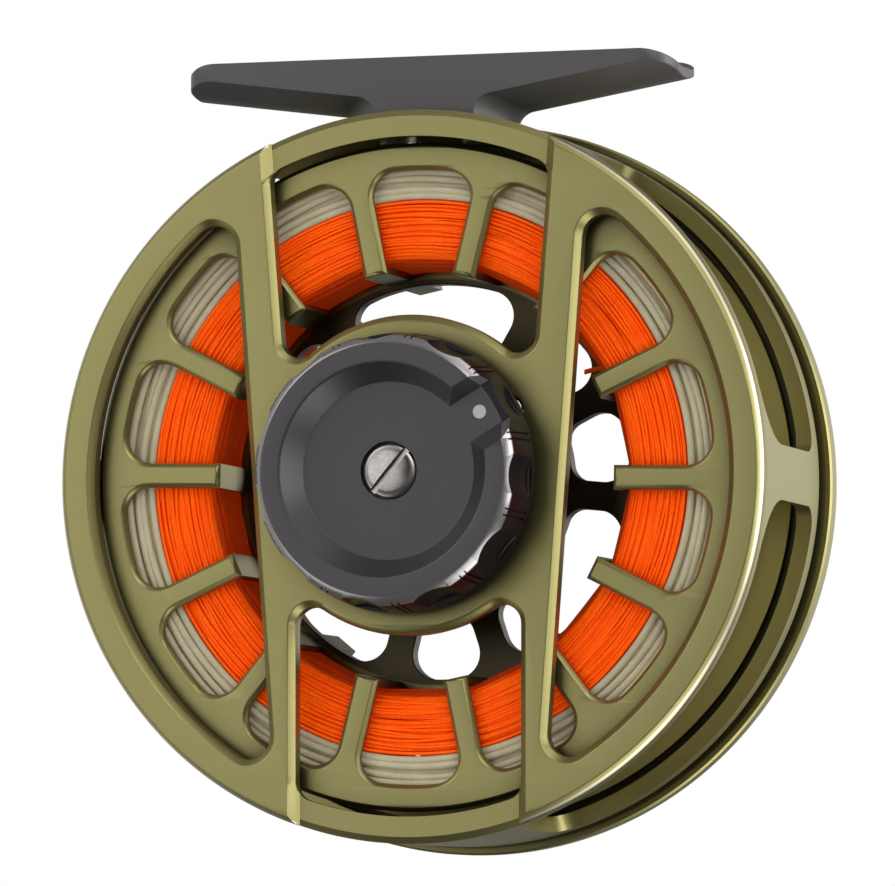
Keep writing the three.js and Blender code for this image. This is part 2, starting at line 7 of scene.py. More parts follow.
import bmesh
import bpy
import numpy as np
from mathutils import Matrix, Vector
from mathutils.geometry import tessellate_polygon


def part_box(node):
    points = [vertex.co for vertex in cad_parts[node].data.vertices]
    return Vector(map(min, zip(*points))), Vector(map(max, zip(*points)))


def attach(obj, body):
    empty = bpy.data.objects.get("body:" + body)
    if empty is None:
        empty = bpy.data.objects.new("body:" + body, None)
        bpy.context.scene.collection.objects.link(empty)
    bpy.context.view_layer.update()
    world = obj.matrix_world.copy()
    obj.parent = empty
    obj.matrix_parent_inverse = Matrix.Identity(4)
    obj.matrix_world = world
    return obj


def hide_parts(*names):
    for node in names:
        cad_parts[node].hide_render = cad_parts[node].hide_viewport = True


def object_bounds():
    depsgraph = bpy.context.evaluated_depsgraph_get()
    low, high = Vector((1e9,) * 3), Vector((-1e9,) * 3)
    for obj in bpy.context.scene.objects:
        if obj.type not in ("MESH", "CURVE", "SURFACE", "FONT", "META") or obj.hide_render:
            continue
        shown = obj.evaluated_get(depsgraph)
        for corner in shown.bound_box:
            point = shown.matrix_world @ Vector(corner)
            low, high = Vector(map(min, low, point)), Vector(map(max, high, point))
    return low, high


MM = 0.001

# ---- the part's own sizes, in millimetres from the spindle's axis and the front plate's face ----
FRAME_R = 43.5
FRAME_W = 27
PLATE = 2.5
CHAMFER = 0.8
HUB_R = 19
D_WINDOW_R = 39.2
RECESS = 1.2
RECESS_BORE = 40.3
CAGE_BORE = 41.6
FAR_RING_Y = 24.2
PILLAR_HALF = 3.25
UPPER_OPENING_END = 62     # where the cage's openings end, in degrees from the horizontal
LOWER_OPENING_END = 74
SPINDLE_R = 3

SPOOL_BARS = 14
FINGER_HALF = 1.45
BARS_TURN = math.radians(-1.3)
BAR_HALF_ANGLE = math.radians(3.3)
ARBOR_R = 24.4
FLANGE_WINDOW_R = 36.5
FLANGE_R = 39.7
FLANGE_Y = 3.3
FLANGE = 1.4
FAR_FLANGE_Y = 24.6
FAR_FLANGE_R = 40.6
RIM_R = 44.45
RIM_Y = 29.15
RIM_END = 31.8
WEB_Y = 13.6
WEB = 2.2
WEB_SPANS = (1, 1, 2, 1, 1, 2, 1, 2)
BACKING_INNER = 25.4
BACKING_R = 33

KNOB_R = 16.6
KNOB_FACE = -9.6
KNOB_FLOOR = -6.9
KNOB_GRIPS = 11
CHANNEL_TURN = math.radians(31)
CHANNEL_FLARE = (0.45, 0.85)   # run of the channel's two sides for each millimetre of rise
THRUST_AT = 8.3
THRUST_PIN_R = 1.2
HOUSING_R = 16.2
HOUSING_END = 13
HOUSING_SCREW_AT = 14.5
HOUSING_SCREW_R = 1
HOUSING_SCREW_HEAD_R = 2
HANDLE_AT = 33.6

FOOT_TOP = 50.5
FOOT_HALF = 30.5
FOOT_CORNER = 4
FOOT_Y = (7, 21.3)
FOOT_SAG = 2.1
FOOT_DISH = 1.6
FOOT_ARCH = 1.75
FOOT_ROOT = 46
FOOT_SLOPES = (0.133, 0.171)
STEM_EDGE = 6.2
STEM_MIDDLE = 9.4
STEM_FILLET = 2.3
FOOT_SCREWS_X = (-5.2, 5.2)
FOOT_SCREW_R = 1.3
FOOT_SCREW_HEAD_R = 2.6

# ---- sizes that only the looks have, in millimetres ----
RING_STEPS = 288           # sides of a large circle
FINE_EDGE_BREAK = 0.06     # small round on the edges of screws, bearings and the drag's inner parts
BACKING_STRAND = 0.40      # diameter of the braided backing
FLY_LINE_STRAND = 0.94     # diameter of the fly line
INDEX_DOT = 0.8            # radius of the painted dot in the knob's channel
INDEX_DOT_AT = 13.0        # its distance from the spindle

# ---- camera, from the spindle's axis at the front plate ----
CAMERA_AZIMUTH = 17.07
CAMERA_ELEVATION = -4.03
CAMERA_DISTANCE = 870 * MM
CAMERA_LENS = 297.1
CAMERA_AIM = Vector((5.13, 0, 3.61)) * MM

FLOOR_DROP = 45 * MM       # floor below the reel's lowest point

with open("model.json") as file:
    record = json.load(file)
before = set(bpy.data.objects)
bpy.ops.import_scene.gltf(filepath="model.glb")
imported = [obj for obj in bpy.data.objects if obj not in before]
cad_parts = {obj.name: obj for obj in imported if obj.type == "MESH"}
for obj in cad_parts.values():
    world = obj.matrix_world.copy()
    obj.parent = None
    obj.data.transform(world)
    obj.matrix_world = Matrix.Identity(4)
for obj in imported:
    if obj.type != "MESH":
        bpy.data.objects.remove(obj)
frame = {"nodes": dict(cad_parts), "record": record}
CAD_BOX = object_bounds()
NODES = frame["nodes"]
SLOTS = {row["node"]: row["material_slot"] for row in frame["record"]["subparts"]}
BODY_NODES = frame["record"]["behaviour"]["bodies"]
BODIES = {node: body for body, nodes in BODY_NODES.items() for node in nodes}


def centre_of(node):
    low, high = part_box(node)
    return (low + high) / 2


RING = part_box("frame")
AXIS_X = (RING[0].x + RING[1].x) / 2
AXIS_Z = centre_of("spindle").z
FACE_Y = RING[0].y
FRONT_CENTRE = Vector((AXIS_X, FACE_Y, AXIS_Z))
TO_CAD = Matrix.Translation(FRONT_CENTRE) @ Matrix.Scale(MM, 4)


# ---- shader helpers ----
class Shader:
    """A node tree with short calls for the few nodes that these materials use."""

    def __init__(self, tree):
        self.tree = tree
        tree.nodes.clear()

    def node(self, kind, **settings):
        made = self.tree.nodes.new(kind)
        inputs = settings.pop("inputs", {})
        for key, value in settings.items():
            setattr(made, key, value)
        for key, value in inputs.items():
            if isinstance(value, bpy.types.NodeSocket):
                self.tree.links.new(value, made.inputs[key])
            else:
                made.inputs[key].default_value = value
        return made

    def math(self, operation, a, b=0.0):
        return self.node("ShaderNodeMath", operation=operation, inputs={0: a, 1: b}).outputs[0]

    def times(self, a, b):
        return self.math("MULTIPLY", a, b)

    def plus(self, a, b):
        return self.math("ADD", a, b)

    def blend(self, factor, a, b):
        mix = self.node("ShaderNodeMix", data_type="RGBA")
        for socket, value in ((mix.inputs[0], factor), (mix.inputs[6], a), (mix.inputs[7], b)):
            if isinstance(value, bpy.types.NodeSocket):
                self.tree.links.new(value, socket)
            else:
                socket.default_value = value
        return mix.outputs[2]

    def ramp(self, value, low, high, to_low=0.0, to_high=1.0):
        return self.node(
            "ShaderNodeMapRange",
            interpolation_type="SMOOTHSTEP",
            inputs={0: value, 1: low, 2: high, 3: to_low, 4: to_high},
        ).outputs[0]

    def place(self):
        return self.node("ShaderNodeTexCoord").outputs["Object"]

    def noise(self, size_mm, detail=2.0, vector=None):
        """Noise whose features are about size_mm across, from 0 to 1."""
        return self.node(
            "ShaderNodeTexNoise",
            inputs={"Vector": vector or self.place(), "Scale": 1 / (size_mm * MM), "Detail": detail},
        ).outputs[0]

    def openness(self, reach_mm):
        """1 in the open, falling to 0 in gaps and corners narrower than about reach_mm."""
        return self.node(
            "ShaderNodeAmbientOcclusion", samples=4, inputs={"Distance": reach_mm * MM}
        ).outputs["AO"]

    def bump(self, height, depth_mm, strength):
        inputs = {"Height": height, "Distance": depth_mm * MM, "Strength": strength}
        return self.node("ShaderNodeBump", inputs=inputs).outputs[0]


def surface(name, build):
    """A material whose Principled inputs come from build(shader)."""
    material = bpy.data.materials.new(name)
    material.use_nodes = True
    shader = Shader(material.node_tree)
    principled = shader.node("ShaderNodeBsdfPrincipled", inputs=build(shader))
    output = shader.node("ShaderNodeOutputMaterial")
    shader.tree.links.new(principled.outputs[0], output.inputs[0])
    return material


def rgb(red, green, blue):
    return (red, green, blue, 1.0)


def from_spindle(shader, centre=0j):
    """Millimetres from an axis parallel to the spindle, and millimetres behind the front plate's face."""
    split = shader.node("ShaderNodeSeparateXYZ", inputs={0: shader.place()})
    x = shader.math("SUBTRACT", split.outputs[0], AXIS_X + centre.real * MM)
    z = shader.math("SUBTRACT", split.outputs[2], AXIS_Z + centre.imag * MM)
    squares = shader.plus(shader.times(x, x), shader.times(z, z))
    radius = shader.math("DIVIDE", shader.math("SQRT", squares), MM)
    depth = shader.math("DIVIDE", shader.math("SUBTRACT", split.outputs[1], FACE_Y), MM)
    return radius, depth


def shaded(color, factor):
    return rgb(*(value * factor for value in color[:3]))


# ---- materials ----
OLIVE = rgb(0.300, 0.275, 0.112)
GRAPHITE = rgb(0.088, 0.084, 0.089)
WEB_SHADE = rgb(0.045, 0.036, 0.020)
WORN_EDGE = rgb(0.56, 0.53, 0.40)
KNOB_GREY = rgb(0.080, 0.075, 0.080)
BRIGHT_EDGE = rgb(0.26, 0.255, 0.26)
POLISHED_BLACK = rgb(0.008, 0.006, 0.008)
DOT_GREY = rgb(0.42, 0.42, 0.42)


def blasted(color, roughness, metallic=0.9, gap_mm=4.0):
    """Bead-blasted, anodised aluminium: a faint speckle over a satin metal, with painted shade that darkens
    its narrow gaps.
    """

    def build(s):
        grain = s.noise(0.12, 2)
        cloud = s.noise(9, 2)
        tone = s.blend(s.ramp(grain, 0.3, 0.7), color, shaded(color, 0.93))
        tone = s.blend(s.ramp(cloud, 0.3, 0.8, 0.0, 0.25), tone, shaded(color, 0.93))
        # painted shade: the colour darkens towards 4 percent of itself in narrow gaps and corners
        open_sky = s.ramp(s.openness(gap_mm), 0.25, 0.9, 0.10, 1.0)
        return {
            "Base Color": s.blend(open_sky, shaded(color, 0.04), tone),
            "Metallic": metallic,
            "Roughness": s.plus(s.times(grain, 0.06), roughness),
            "Normal": s.bump(grain, 0.004, 0.5),
        }

    return build


def frame_finish(s):
    """The frame's finish, worn pale along the rounded outer edge of its front plate."""
    inputs = blasted(OLIVE, 0.36)(s)
    radius, depth = from_spindle(s)
    edge = s.times(s.ramp(radius, FRAME_R - 0.42, FRAME_R - 0.30), s.ramp(depth, 1.0, 0.7))
    inputs["Base Color"] = s.blend(edge, inputs["Base Color"], WORN_EDGE)
    return inputs


def spool_finish(s):
    """The frame's finish with painted shade: dark on the web inside the arbor, and dark before the palming
    rim while the far ring covers it.
    """
    inputs = blasted(OLIVE, 0.36)(s)
    radius, depth = from_spindle(s)
    # painted shade: the web and hub deep inside the arbor are coloured dark
    inside = s.times(s.ramp(radius, ARBOR_R + 0.2, ARBOR_R - 0.2), s.ramp(depth, 9, 11))
    # painted shade: dark on the palming rim's front face only while the far ring closes the narrow space
    # before it
    behind = s.ramp(depth, FRAME_W - 0.4, FRAME_W)
    gap = s.times(behind, s.ramp(radius, FRAME_R + 0.25, FRAME_R + 0.05))
    gap = s.times(gap, s.ramp(depth, RIM_Y + 0.3, RIM_Y + 0.2))
    gap = s.times(gap, s.ramp(radius, FAR_FLANGE_R - 0.25, FAR_FLANGE_R - 0.1))
    gap = s.times(gap, s.ramp(s.openness(7), 0.85, 0.5))
    inputs["Base Color"] = s.blend(s.math("MAXIMUM", inside, gap), inputs["Base Color"], WEB_SHADE)
    return inputs


def knob_finish(s):
    """The drag knob: blasted grey face, a bright turned edge, polished black grips, a painted dot."""
    grain = s.noise(0.12, 2)
    radius, depth = from_spindle(s)
    normal = s.node("ShaderNodeNewGeometry").outputs["True Normal"]
    facing = s.node("ShaderNodeSeparateXYZ", inputs={0: normal})
    sideways = s.ramp(facing.outputs[1], -0.45, -0.35)
    outside = s.ramp(radius, 14.86, 14.92)
    side = s.times(outside, s.math("MAXIMUM", sideways, s.ramp(depth, -7.2, -7.0)))
    dot_reach, _ = from_spindle(s, cmath.rect(INDEX_DOT_AT, CHANNEL_TURN))
    dot = s.ramp(dot_reach, INDEX_DOT + 0.03, INDEX_DOT - 0.03)
    face = s.blend(s.ramp(grain, 0.3, 0.7), KNOB_GREY, shaded(KNOB_GREY, 0.93))
    edged = s.blend(outside, s.blend(dot, face, DOT_GREY), BRIGHT_EDGE)
    metal = s.times(s.math("SUBTRACT", 1.0, side), s.ramp(dot, 0, 1, 0.75, 0.0))
    return {
        "Base Color": s.blend(side, edged, POLISHED_BLACK),
        "Metallic": metal,
        "Roughness": s.plus(s.ramp(outside, 0, 1, 0.42, 0.20), s.times(grain, 0.03)),
        "Specular IOR Level": s.ramp(side, 0, 1, 0.5, 0.14),
        "Normal": s.bump(grain, 0.003, 0.4),
    }


def turned_steel(s):
    """Stainless steel with fine concentric turning marks."""
    stretched = s.node("ShaderNodeMapping", inputs={0: s.place(), "Scale": (1.0, 0.15, 1.0)}).outputs[0]
    marks = s.noise(0.16, 3, stretched)
    tangent = s.node("ShaderNodeTangent", direction_type="RADIAL", axis="Y").outputs[0]
    return {
        "Base Color": s.blend(s.ramp(marks, 0.3, 0.75), rgb(0.44, 0.42, 0.40), rgb(0.34, 0.325, 0.31)),
        "Metallic": 1.0,
        "Roughness": s.plus(s.times(marks, 0.10), 0.24),
        "Anisotropic": 0.75,
        "Tangent": tangent,
        "Normal": s.bump(marks, 0.006, 0.4),
    }


def carbon_weave(s):
    """Matt carbon fibre friction disc: a two-way weave of 1 mm tows."""
    split = s.node("ShaderNodeSeparateXYZ", inputs={0: s.place()})
    wave_x = s.math("SINE", s.times(split.outputs[0], math.pi / MM))
    wave_z = s.math("SINE", s.times(split.outputs[2], math.pi / MM))
    tows = s.ramp(s.times(wave_x, wave_z), -0.2, 0.2)
    return {
        "Base Color": s.blend(tows, rgb(0.014, 0.014, 0.015), rgb(0.05, 0.05, 0.052)),
        "Metallic": 0.1,
        "Roughness": s.ramp(tows, 0, 1, 0.62, 0.38),
        "Normal": s.bump(tows, 0.02, 0.4),
    }


def moulded_rubber(s):
    grain = s.noise(0.3, 3)
    return {
        "Base Color": s.blend(grain, rgb(0.012, 0.012, 0.012), rgb(0.03, 0.03, 0.03)),
        "Roughness": s.plus(s.times(grain, 0.15), 0.62),
        "Normal": s.bump(grain, 0.02, 0.4),
    }


def soft_grip(s):
    """The handle: black polymer with a fine moulded grain."""
    grain = s.node(
        "ShaderNodeTexVoronoi", feature="F1", inputs={"Vector": s.place(), "Scale": 1 / (0.45 * MM)}
    ).outputs["Distance"]
    cloud = s.noise(5, 2)
    return {
        "Base Color": s.blend(cloud, rgb(0.016, 0.016, 0.017), rgb(0.034, 0.033, 0.034)),
        "Roughness": s.ramp(cloud, 0.3, 0.7, 0.46, 0.56),
        "Normal": s.bump(grain, 0.03, 0.5),
    }


def polished_brass(s):
    marks = s.noise(0.3, 3)
    return {
        "Base Color": s.blend(marks, rgb(0.52, 0.36, 0.12), rgb(0.38, 0.25, 0.08)),
        "Metallic": 1.0,
        "Roughness": s.plus(s.times(marks, 0.15), 0.18),
    }


def braided_backing(s):
    """Fluorescent orange braid: plaited yarn bumps, redder between them as painted shade; painted shade on
    the pack's inner wall and in narrow gaps; a painted glow.
    """
    yarn = s.noise(0.17, 2)
    patch = s.noise(3.2, 2)
    lit = s.blend(s.ramp(patch, 0.3, 0.75), rgb(1.0, 0.125, 0.003), rgb(1.0, 0.095, 0.001))
    open_sky = s.ramp(s.openness(1.6), 0.15, 0.75)
    # painted shade: redder and darker in the hollows between the yarn bumps
    color = s.blend(s.ramp(yarn, 0.58, 0.34, 0.0, 0.7), lit, rgb(0.80, 0.055, 0.0))
    radius, _ = from_spindle(s)
    # painted shade: the pack's inner wall beside the arbor turns dark red
    inner_wall_shade = s.ramp(radius, BACKING_INNER + 1.1, BACKING_INNER + 0.3)
    color = s.blend(s.times(inner_wall_shade, 0.75), color, rgb(0.16, 0.004, 0.0))
    # painted shade: dark red where the braid lies in narrow gaps
    color = s.blend(open_sky, rgb(0.50, 0.022, 0.0), color)
    return {
        "Base Color": color,
        "Roughness": 0.62,
        "Specular IOR Level": 0.1,
        # painted glow: the braid emits light in its own colour, as if it were lit more brightly
        "Emission Color": color,
        "Emission Strength": 0.26,
        "Normal": s.bump(yarn, 0.04, 0.6),
    }


def coated_line(s):
    """Fly line: smooth pale plastic coating, a little cloudy."""
    cloud = s.noise(2.5, 2)
    fine = s.noise(0.25, 2)
    return {
        "Base Color": s.blend(s.ramp(cloud, 0.3, 0.7), rgb(0.57, 0.51, 0.34), rgb(0.51, 0.46, 0.31)),
        "Roughness": s.plus(s.times(fine, 0.1), 0.42),
        "Subsurface Weight": 0.08,
        "Subsurface Radius": (0.6 * MM, 0.6 * MM, 0.4 * MM),
        "Normal": s.bump(fine, 0.01, 0.3),
    }


FINISHES = {
    "olive_anodised": blasted(OLIVE, 0.36),
    "graphite_anodised": blasted(GRAPHITE, 0.46, 0.35, 1.5),
    "black_anodised": blasted(rgb(0.018, 0.017, 0.018), 0.36, 0.6),
    "steel": turned_steel,
    "carbon": carbon_weave,
    "rubber": moulded_rubber,
    "brass": polished_brass,
    "grip": soft_grip,
    "backing": braided_backing,
    "fly_line": coated_line,
}
MATERIALS = {slot: surface(slot, build) for slot, build in FINISHES.items()}
OWN_MATERIALS = {
    "frame": surface("frame_olive", frame_finish),
    "drag_knob": surface("knob_graphite_and_black", knob_finish),
    "spool": surface("spool_olive", spool_finish),
}


# ---- finishing the CAD pieces ----
def geometry_group(name, chain):
    """A geometry-nodes group that passes its geometry through the nodes that chain(add) makes."""
    group = bpy.data.node_groups.new(name, "GeometryNodeTree")
    group.interface.new_socket("Geometry", in_out="INPUT", socket_type="NodeSocketGeometry")
    group.interface.new_socket("Geometry", in_out="OUTPUT", socket_type="NodeSocketGeometry")
    start = group.nodes.new("NodeGroupInput")
    end = group.nodes.new("NodeGroupOutput")
    last = start.outputs[0]
    for node in chain(group):
        group.links.new(last, node.inputs[0])
        last = node.outputs[0]
    group.links.new(last, end.inputs[0])
    return group


def weld_chain(group):
    merge = group.nodes.new("GeometryNodeMergeByDistance")
    merge.inputs["Distance"].default_value = 0.0005 * MM
    return [merge]


def smooth_chain(group, limit=math.radians(32)):
    """Smooth shading, kept sharp where two faces meet at more than the limit."""
    smooth = group.nodes.new("GeometryNodeSetShadeSmooth")
    angle = group.nodes.new("GeometryNodeInputMeshEdgeAngle")
    over = group.nodes.new("FunctionNodeCompare")
    over.data_type = "FLOAT"
    over.operation = "GREATER_THAN"
    over.inputs[1].default_value = limit
    group.links.new(angle.outputs[0], over.inputs[0])
    sharp = group.nodes.new("GeometryNodeSetShadeSmooth")
    sharp.domain = "EDGE"
    sharp.inputs["Shade Smooth"].default_value = False
    group.links.new(over.outputs[0], sharp.inputs["Selection"])
    return [smooth, sharp]


WELD = geometry_group("weld", weld_chain)
SMOOTH = geometry_group("smooth_by_angle", smooth_chain)


def smoothed(obj):
    """Smooths curved faces and keeps flat faces flat."""
    smooth = obj.modifiers.new("smooth", "NODES")
    smooth.node_group = SMOOTH
    weighted = obj.modifiers.new("flat_faces", "WEIGHTED_NORMAL")
    weighted.keep_sharp = True
    weighted.weight = 80


def machined(obj):
    """Breaks a CAD piece's edges and smooths its curved faces."""
    weld = obj.modifiers.new("weld", "NODES")
    weld.node_group = WELD
    bevel = obj.modifiers.new("edge_break", "BEVEL")
    bevel.width = FINE_EDGE_BREAK * MM
    bevel.segments = 2
    bevel.limit_method = "ANGLE"
    bevel.angle_limit = math.radians(26)
    bevel.use_clamp_overlap = False
    smoothed(obj)


def finish_cad_pieces():
    for name, obj in NODES.items():
        obj.data.materials.clear()
        obj.data.materials.append(MATERIALS[SLOTS[name]])
        machined(obj)


# ---- solids, in millimetres from the spindle's axis and the front plate's face ----
# An outline is a list of complex numbers, x + iz. A profile is a list of (inset, y): how far the wall
# lies inside the material's outline at that depth.
def arc(centre, radius, start, end, steps):
    """Points along an arc, both ends included."""
    return [centre + cmath.rect(radius, start + (end - start) * k / steps) for k in range(steps + 1)]


def circle(radius, steps=RING_STEPS):
    return [cmath.rect(radius, 2 * math.pi * k / steps) for k in range(steps)]


def mirrored(points):
    return [complex(-p.real, p.imag) for p in reversed(points)]


def turned_to(points, angle):
    return [p * cmath.rect(1, angle) for p in points]


def signed_area(points):
    return sum((a.conjugate() * b).imag for a, b in zip(points, points[1:] + points[:1])) / 2


def inward(points):
    """The direction into the material at each point of an outline that has it on its left."""
    made = []
    for before, here, after in zip(points[-1:] + points[:-1], points, points[1:] + points[:1]):
        one = 1j * (here - before) / abs(here - before)
        two = 1j * (after - here) / abs(after - here)
        half = (one + two) / abs(one + two)
        made.append(half / max(0.5, (half.conjugate() * one).real))
    return made


def added(name, data):
    """A new object in the scene."""
    obj = bpy.data.objects.new(name, data)
    bpy.context.scene.collection.objects.link(obj)
    return obj


def band(here, count):
    """Faces from one ring of points, whose first has the index here, to the next ring."""
    around = [(k, (k + 1) % count) for k in range(count)]
    return [(here + k, here + after, here + count + after, here + count + k) for k, after in around]


def end_cap(outline, start):
    """Triangles that close an outline whose first point has the index start."""
    loop = [Vector((p.real, p.imag, 0)) for p in outline]
    return [tuple(start + i for i in triangle) for triangle in tessellate_polygon([loop])]


def solid(name, points, faces):
    """A closed object from points in millimetres."""
    mesh = bpy.data.meshes.new(name)
    mesh.from_pydata(points, [], faces)
    work = bmesh.new()
    work.from_mesh(mesh)
    bmesh.ops.remove_doubles(work, verts=work.verts, dist=1e-5)
    bmesh.ops.recalc_face_normals(work, faces=work.faces)
    work.to_mesh(mesh)
    work.free()
    return added(name, mesh)


def plate(outer, holes, profile, outer_profile=None):
    """A plate with holes; its walls follow the profile, and the outer one its own where that is given."""
    rims = [outer if signed_area(outer) > 0 else outer[::-1]]
    rims += [hole if signed_area(hole) < 0 else hole[::-1] for hole in holes]
    points, faces, starts = [], [], []
    for rim in rims:
        starts.append(len(points))
        into = inward(rim)
        for inset, y in (outer_profile or profile) if rim is rims[0] else profile:
            points += [((p + n * inset).real, y, (p + n * inset).imag) for p, n in zip(rim, into)]
        count = len(rim)
        for level in range(len(profile) - 1):
            faces += band(starts[-1] + level * count, count)
    for level in (0, len(profile) - 1):
        index = [start + level * len(rim) + k for start, rim in zip(starts, rims) for k in range(len(rim))]
        loops, taken = [], 0
        for rim in rims:
            loops.append([Vector((points[i][0], points[i][2], 0)) for i in index[taken : taken + len(rim)]])
            taken += len(rim)
        faces += [tuple(index[i] for i in triangle) for triangle in tessellate_polygon(loops)]
    return solid("plate", points, faces)


def turned(profile, steps=RING_STEPS, centre=0j):
    """A solid turned about an axis parallel to the spindle; the profile is closed, as (radius, y)."""
    points = []
    for k in range(steps):
        turn = 2 * math.pi * k / steps
        across, up = math.cos(turn), math.sin(turn)
        points += [(centre.real + r * across, y, centre.imag + r * up) for r, y in profile]
    count = len(profile)
    faces = []
    for k in range(steps):
        for j in range(count):
            on_axis = profile[j][0] == 0 and profile[(j + 1) % count][0] == 0
            here, after = k * count, ((k + 1) % steps) * count
            if not on_axis:
                faces.append((here + j, here + (j + 1) % count, after + (j + 1) % count, after + j))
    return solid("turned", points, faces)


def block(low, high, angle=0.0):
    """A box between two corners (x, y, z), turned about the spindle."""
    corners = [(x, y, z) for x in (low[0], high[0]) for y in (low[1], high[1]) for z in (low[2], high[2])]
    spun = [((complex(x, z) * cmath.rect(1, angle)), y) for x, y, z in corners]
    faces = [(0, 1, 3, 2), (4, 5, 7, 6), (0, 1, 5, 4), (2, 3, 7, 6), (0, 2, 6, 4), (1, 3, 7, 5)]
    return solid("block", [(p.real, y, p.imag) for p, y in spun], faces)


def lofted(outlines, ys):
    """A solid through outlines with equal numbers of points, each at its own y."""
    count = len(outlines[0])
    points = [(p.real, y, p.imag) for outline, y in zip(outlines, ys) for p in outline]
    last = (len(ys) - 1) * count
    faces = []
    for start in range(0, last, count):
        faces += band(start, count)
    faces += end_cap(outlines[0], 0) + end_cap(outlines[-1], last)
    return solid("loft", points, faces)


def combined(base, others, operation):
    """Joins the others to the base, cuts them from it, or keeps what they share with it."""
    for other in others:
        step = base.modifiers.new("step", "BOOLEAN")
        step.operation = operation
        step.solver = "MANIFOLD"
        step.object = other
    graph = bpy.context.evaluated_depsgraph_get()
    mesh = bpy.data.meshes.new_from_object(base.evaluated_get(graph))
    base.modifiers.clear()
    base.data = mesh
    for other in others:
        bpy.data.objects.remove(other)
    return base


def joined(parts):
    return combined(parts[0], parts[1:], "UNION")


def shown(obj, node, material):
    """Moves a finished solid to the CAD's place, in metres, to stand for its node."""
    obj.name = node + "_fine"
    obj.data.transform(TO_CAD)
    obj.data.materials.clear()
    obj.data.materials.append(material)
    smoothed(obj)
    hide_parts(node)
    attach(obj, BODIES[node])


# ---- frame ----
class Wall:
    """A straight wall x = offset + slope z on the +X side of the spindle."""

    def __init__(self, offset, slope):
        self.offset = offset
        self.slope = slope

    def lean(self):
        return math.atan(self.slope)

    def fillet(self, side, radius, reach, up):
        """Centre of a fillet touching the wall from one side, at a distance reach from the spindle."""
        normal = complex(side, -side * self.slope)
        normal /= abs(normal)
        along = complex(self.slope, 1)
        along /= abs(along)
        distance = normal.real * self.offset + radius
        return normal * distance + along * up * math.sqrt(reach**2 - distance**2)


BAR_OUTER = Wall(19.4, 0.074)
UPPER_WALL = Wall(14.4, 0.08)
LOWER_WALL = Wall(13.9, 0.0)


def d_window():
    """The window between a bar's tapered outer edge and the ring."""
    radius = 2.6
    top = BAR_OUTER.fillet(1, radius, D_WINDOW_R - radius, 1)
    foot = BAR_OUTER.fillet(1, radius, D_WINDOW_R - radius, -1)
    wall = math.pi - BAR_OUTER.lean()
    return [
        *arc(foot, radius, cmath.phase(foot), wall - 2 * math.pi, 12),
        *arc(top, radius, wall, cmath.phase(top), 12),
        *arc(0, D_WINDOW_R, cmath.phase(top), cmath.phase(foot), 96)[1:-1],
    ]


def bridge_window(wall, up):
    """The window between the two bars, the hub and the ring."""
    radius = 2.2
    low = wall.fillet(-1, radius, HUB_R + radius, 1)
    high = wall.fillet(-1, radius, RECESS_BORE - radius, 1)
    half = [
        *arc(0, HUB_R, math.pi / 2, cmath.phase(low), 28)[:-1],
        *arc(low, radius, cmath.phase(low) - math.pi, -wall.lean(), 12),
        *arc(high, radius, -wall.lean(), cmath.phase(high), 10),
        *arc(0, RECESS_BORE, cmath.phase(high), math.pi / 2, 24)[1:],
    ]
    outline = half + mirrored(half)[1:-1]
    return outline if up > 0 else [p.conjugate() for p in outline]


def ring_recess(wall, up):
    """What is cut away to set the ring back between the bars, with a sloping fold along each bar."""
    low, high = 35.2, 47.0
    ends = ((-1, low), (1, low), (1, high), (-1, high))
    outline = [complex(side * (wall.offset + wall.slope * z + CHAMFER), up * z) for side, z in ends]
    step = plate(outline, [], [(0, -4), (0, 0), (RECESS, RECESS)])
    corner = FRAME_R - CHAMFER
    rim = turned([(corner, RECESS), (FRAME_R + 2, RECESS), (FRAME_R + 2, RECESS + 2 + CHAMFER)])
    rim = combined(rim, [plate(outline, [], [(0, 0), (0, PLATE + 2)])], "INTERSECT")
    return joined([step, rim])


def cage_opening(start, end):
    """A cutter for one opening of the cage wall, rounder at its corners beside the front plate."""
    steps = 10
    half_width = math.radians(end - start) / 2 * FRAME_R
    outline = []
    for quarter, (across, depth, radius) in enumerate(((1, 1, 2.6), (-1, 1, 2.6), (-1, -1, 7), (1, -1, 7))):
        edge = FAR_RING_Y if depth > 0 else PLATE
        centre = complex(across * (half_width - radius), edge - depth * radius)
        outline += arc(centre, radius, quarter * math.pi / 2, (quarter + 1) * math.pi / 2, steps)
    spin = math.radians(start + end) / 2
    points = []
    for reach in (FRAME_R - 5, FRAME_R + 20):
        for p in outline:
            around = cmath.rect(reach, spin + p.real / FRAME_R)
            points.append((around.real, p.imag, around.imag))
    count = len(outline)
    faces = band(0, count) + end_cap(outline, 0) + end_cap(outline, count)
    return solid("opening", points, faces)


def softened(chamfer, thickness):
    """A wall profile with a chamfer at the front whose two edges are slightly rounded."""
    soft = 0.07
    return [
        (chamfer + soft, 0), (chamfer - soft, soft * 0.6), (soft * 0.6, chamfer - soft),
        (0, chamfer + soft), (0, thickness - 0.08), (0.08, thickness),
    ]


def bore(radius, start, end, centre=0j):
    return turned([(0, start), (radius, start), (radius, end), (0, end)], 64, centre)


def post(x, radius, low, high):
    """An upright cylinder in the middle of the foot's width."""
    obj = bore(radius, low, high)
    upright = Matrix.Rotation(math.pi / 2, 4, "X")
    obj.data.transform(Matrix.Translation((x, sum(FOOT_Y) / 2, 0)) @ upright)
    return obj


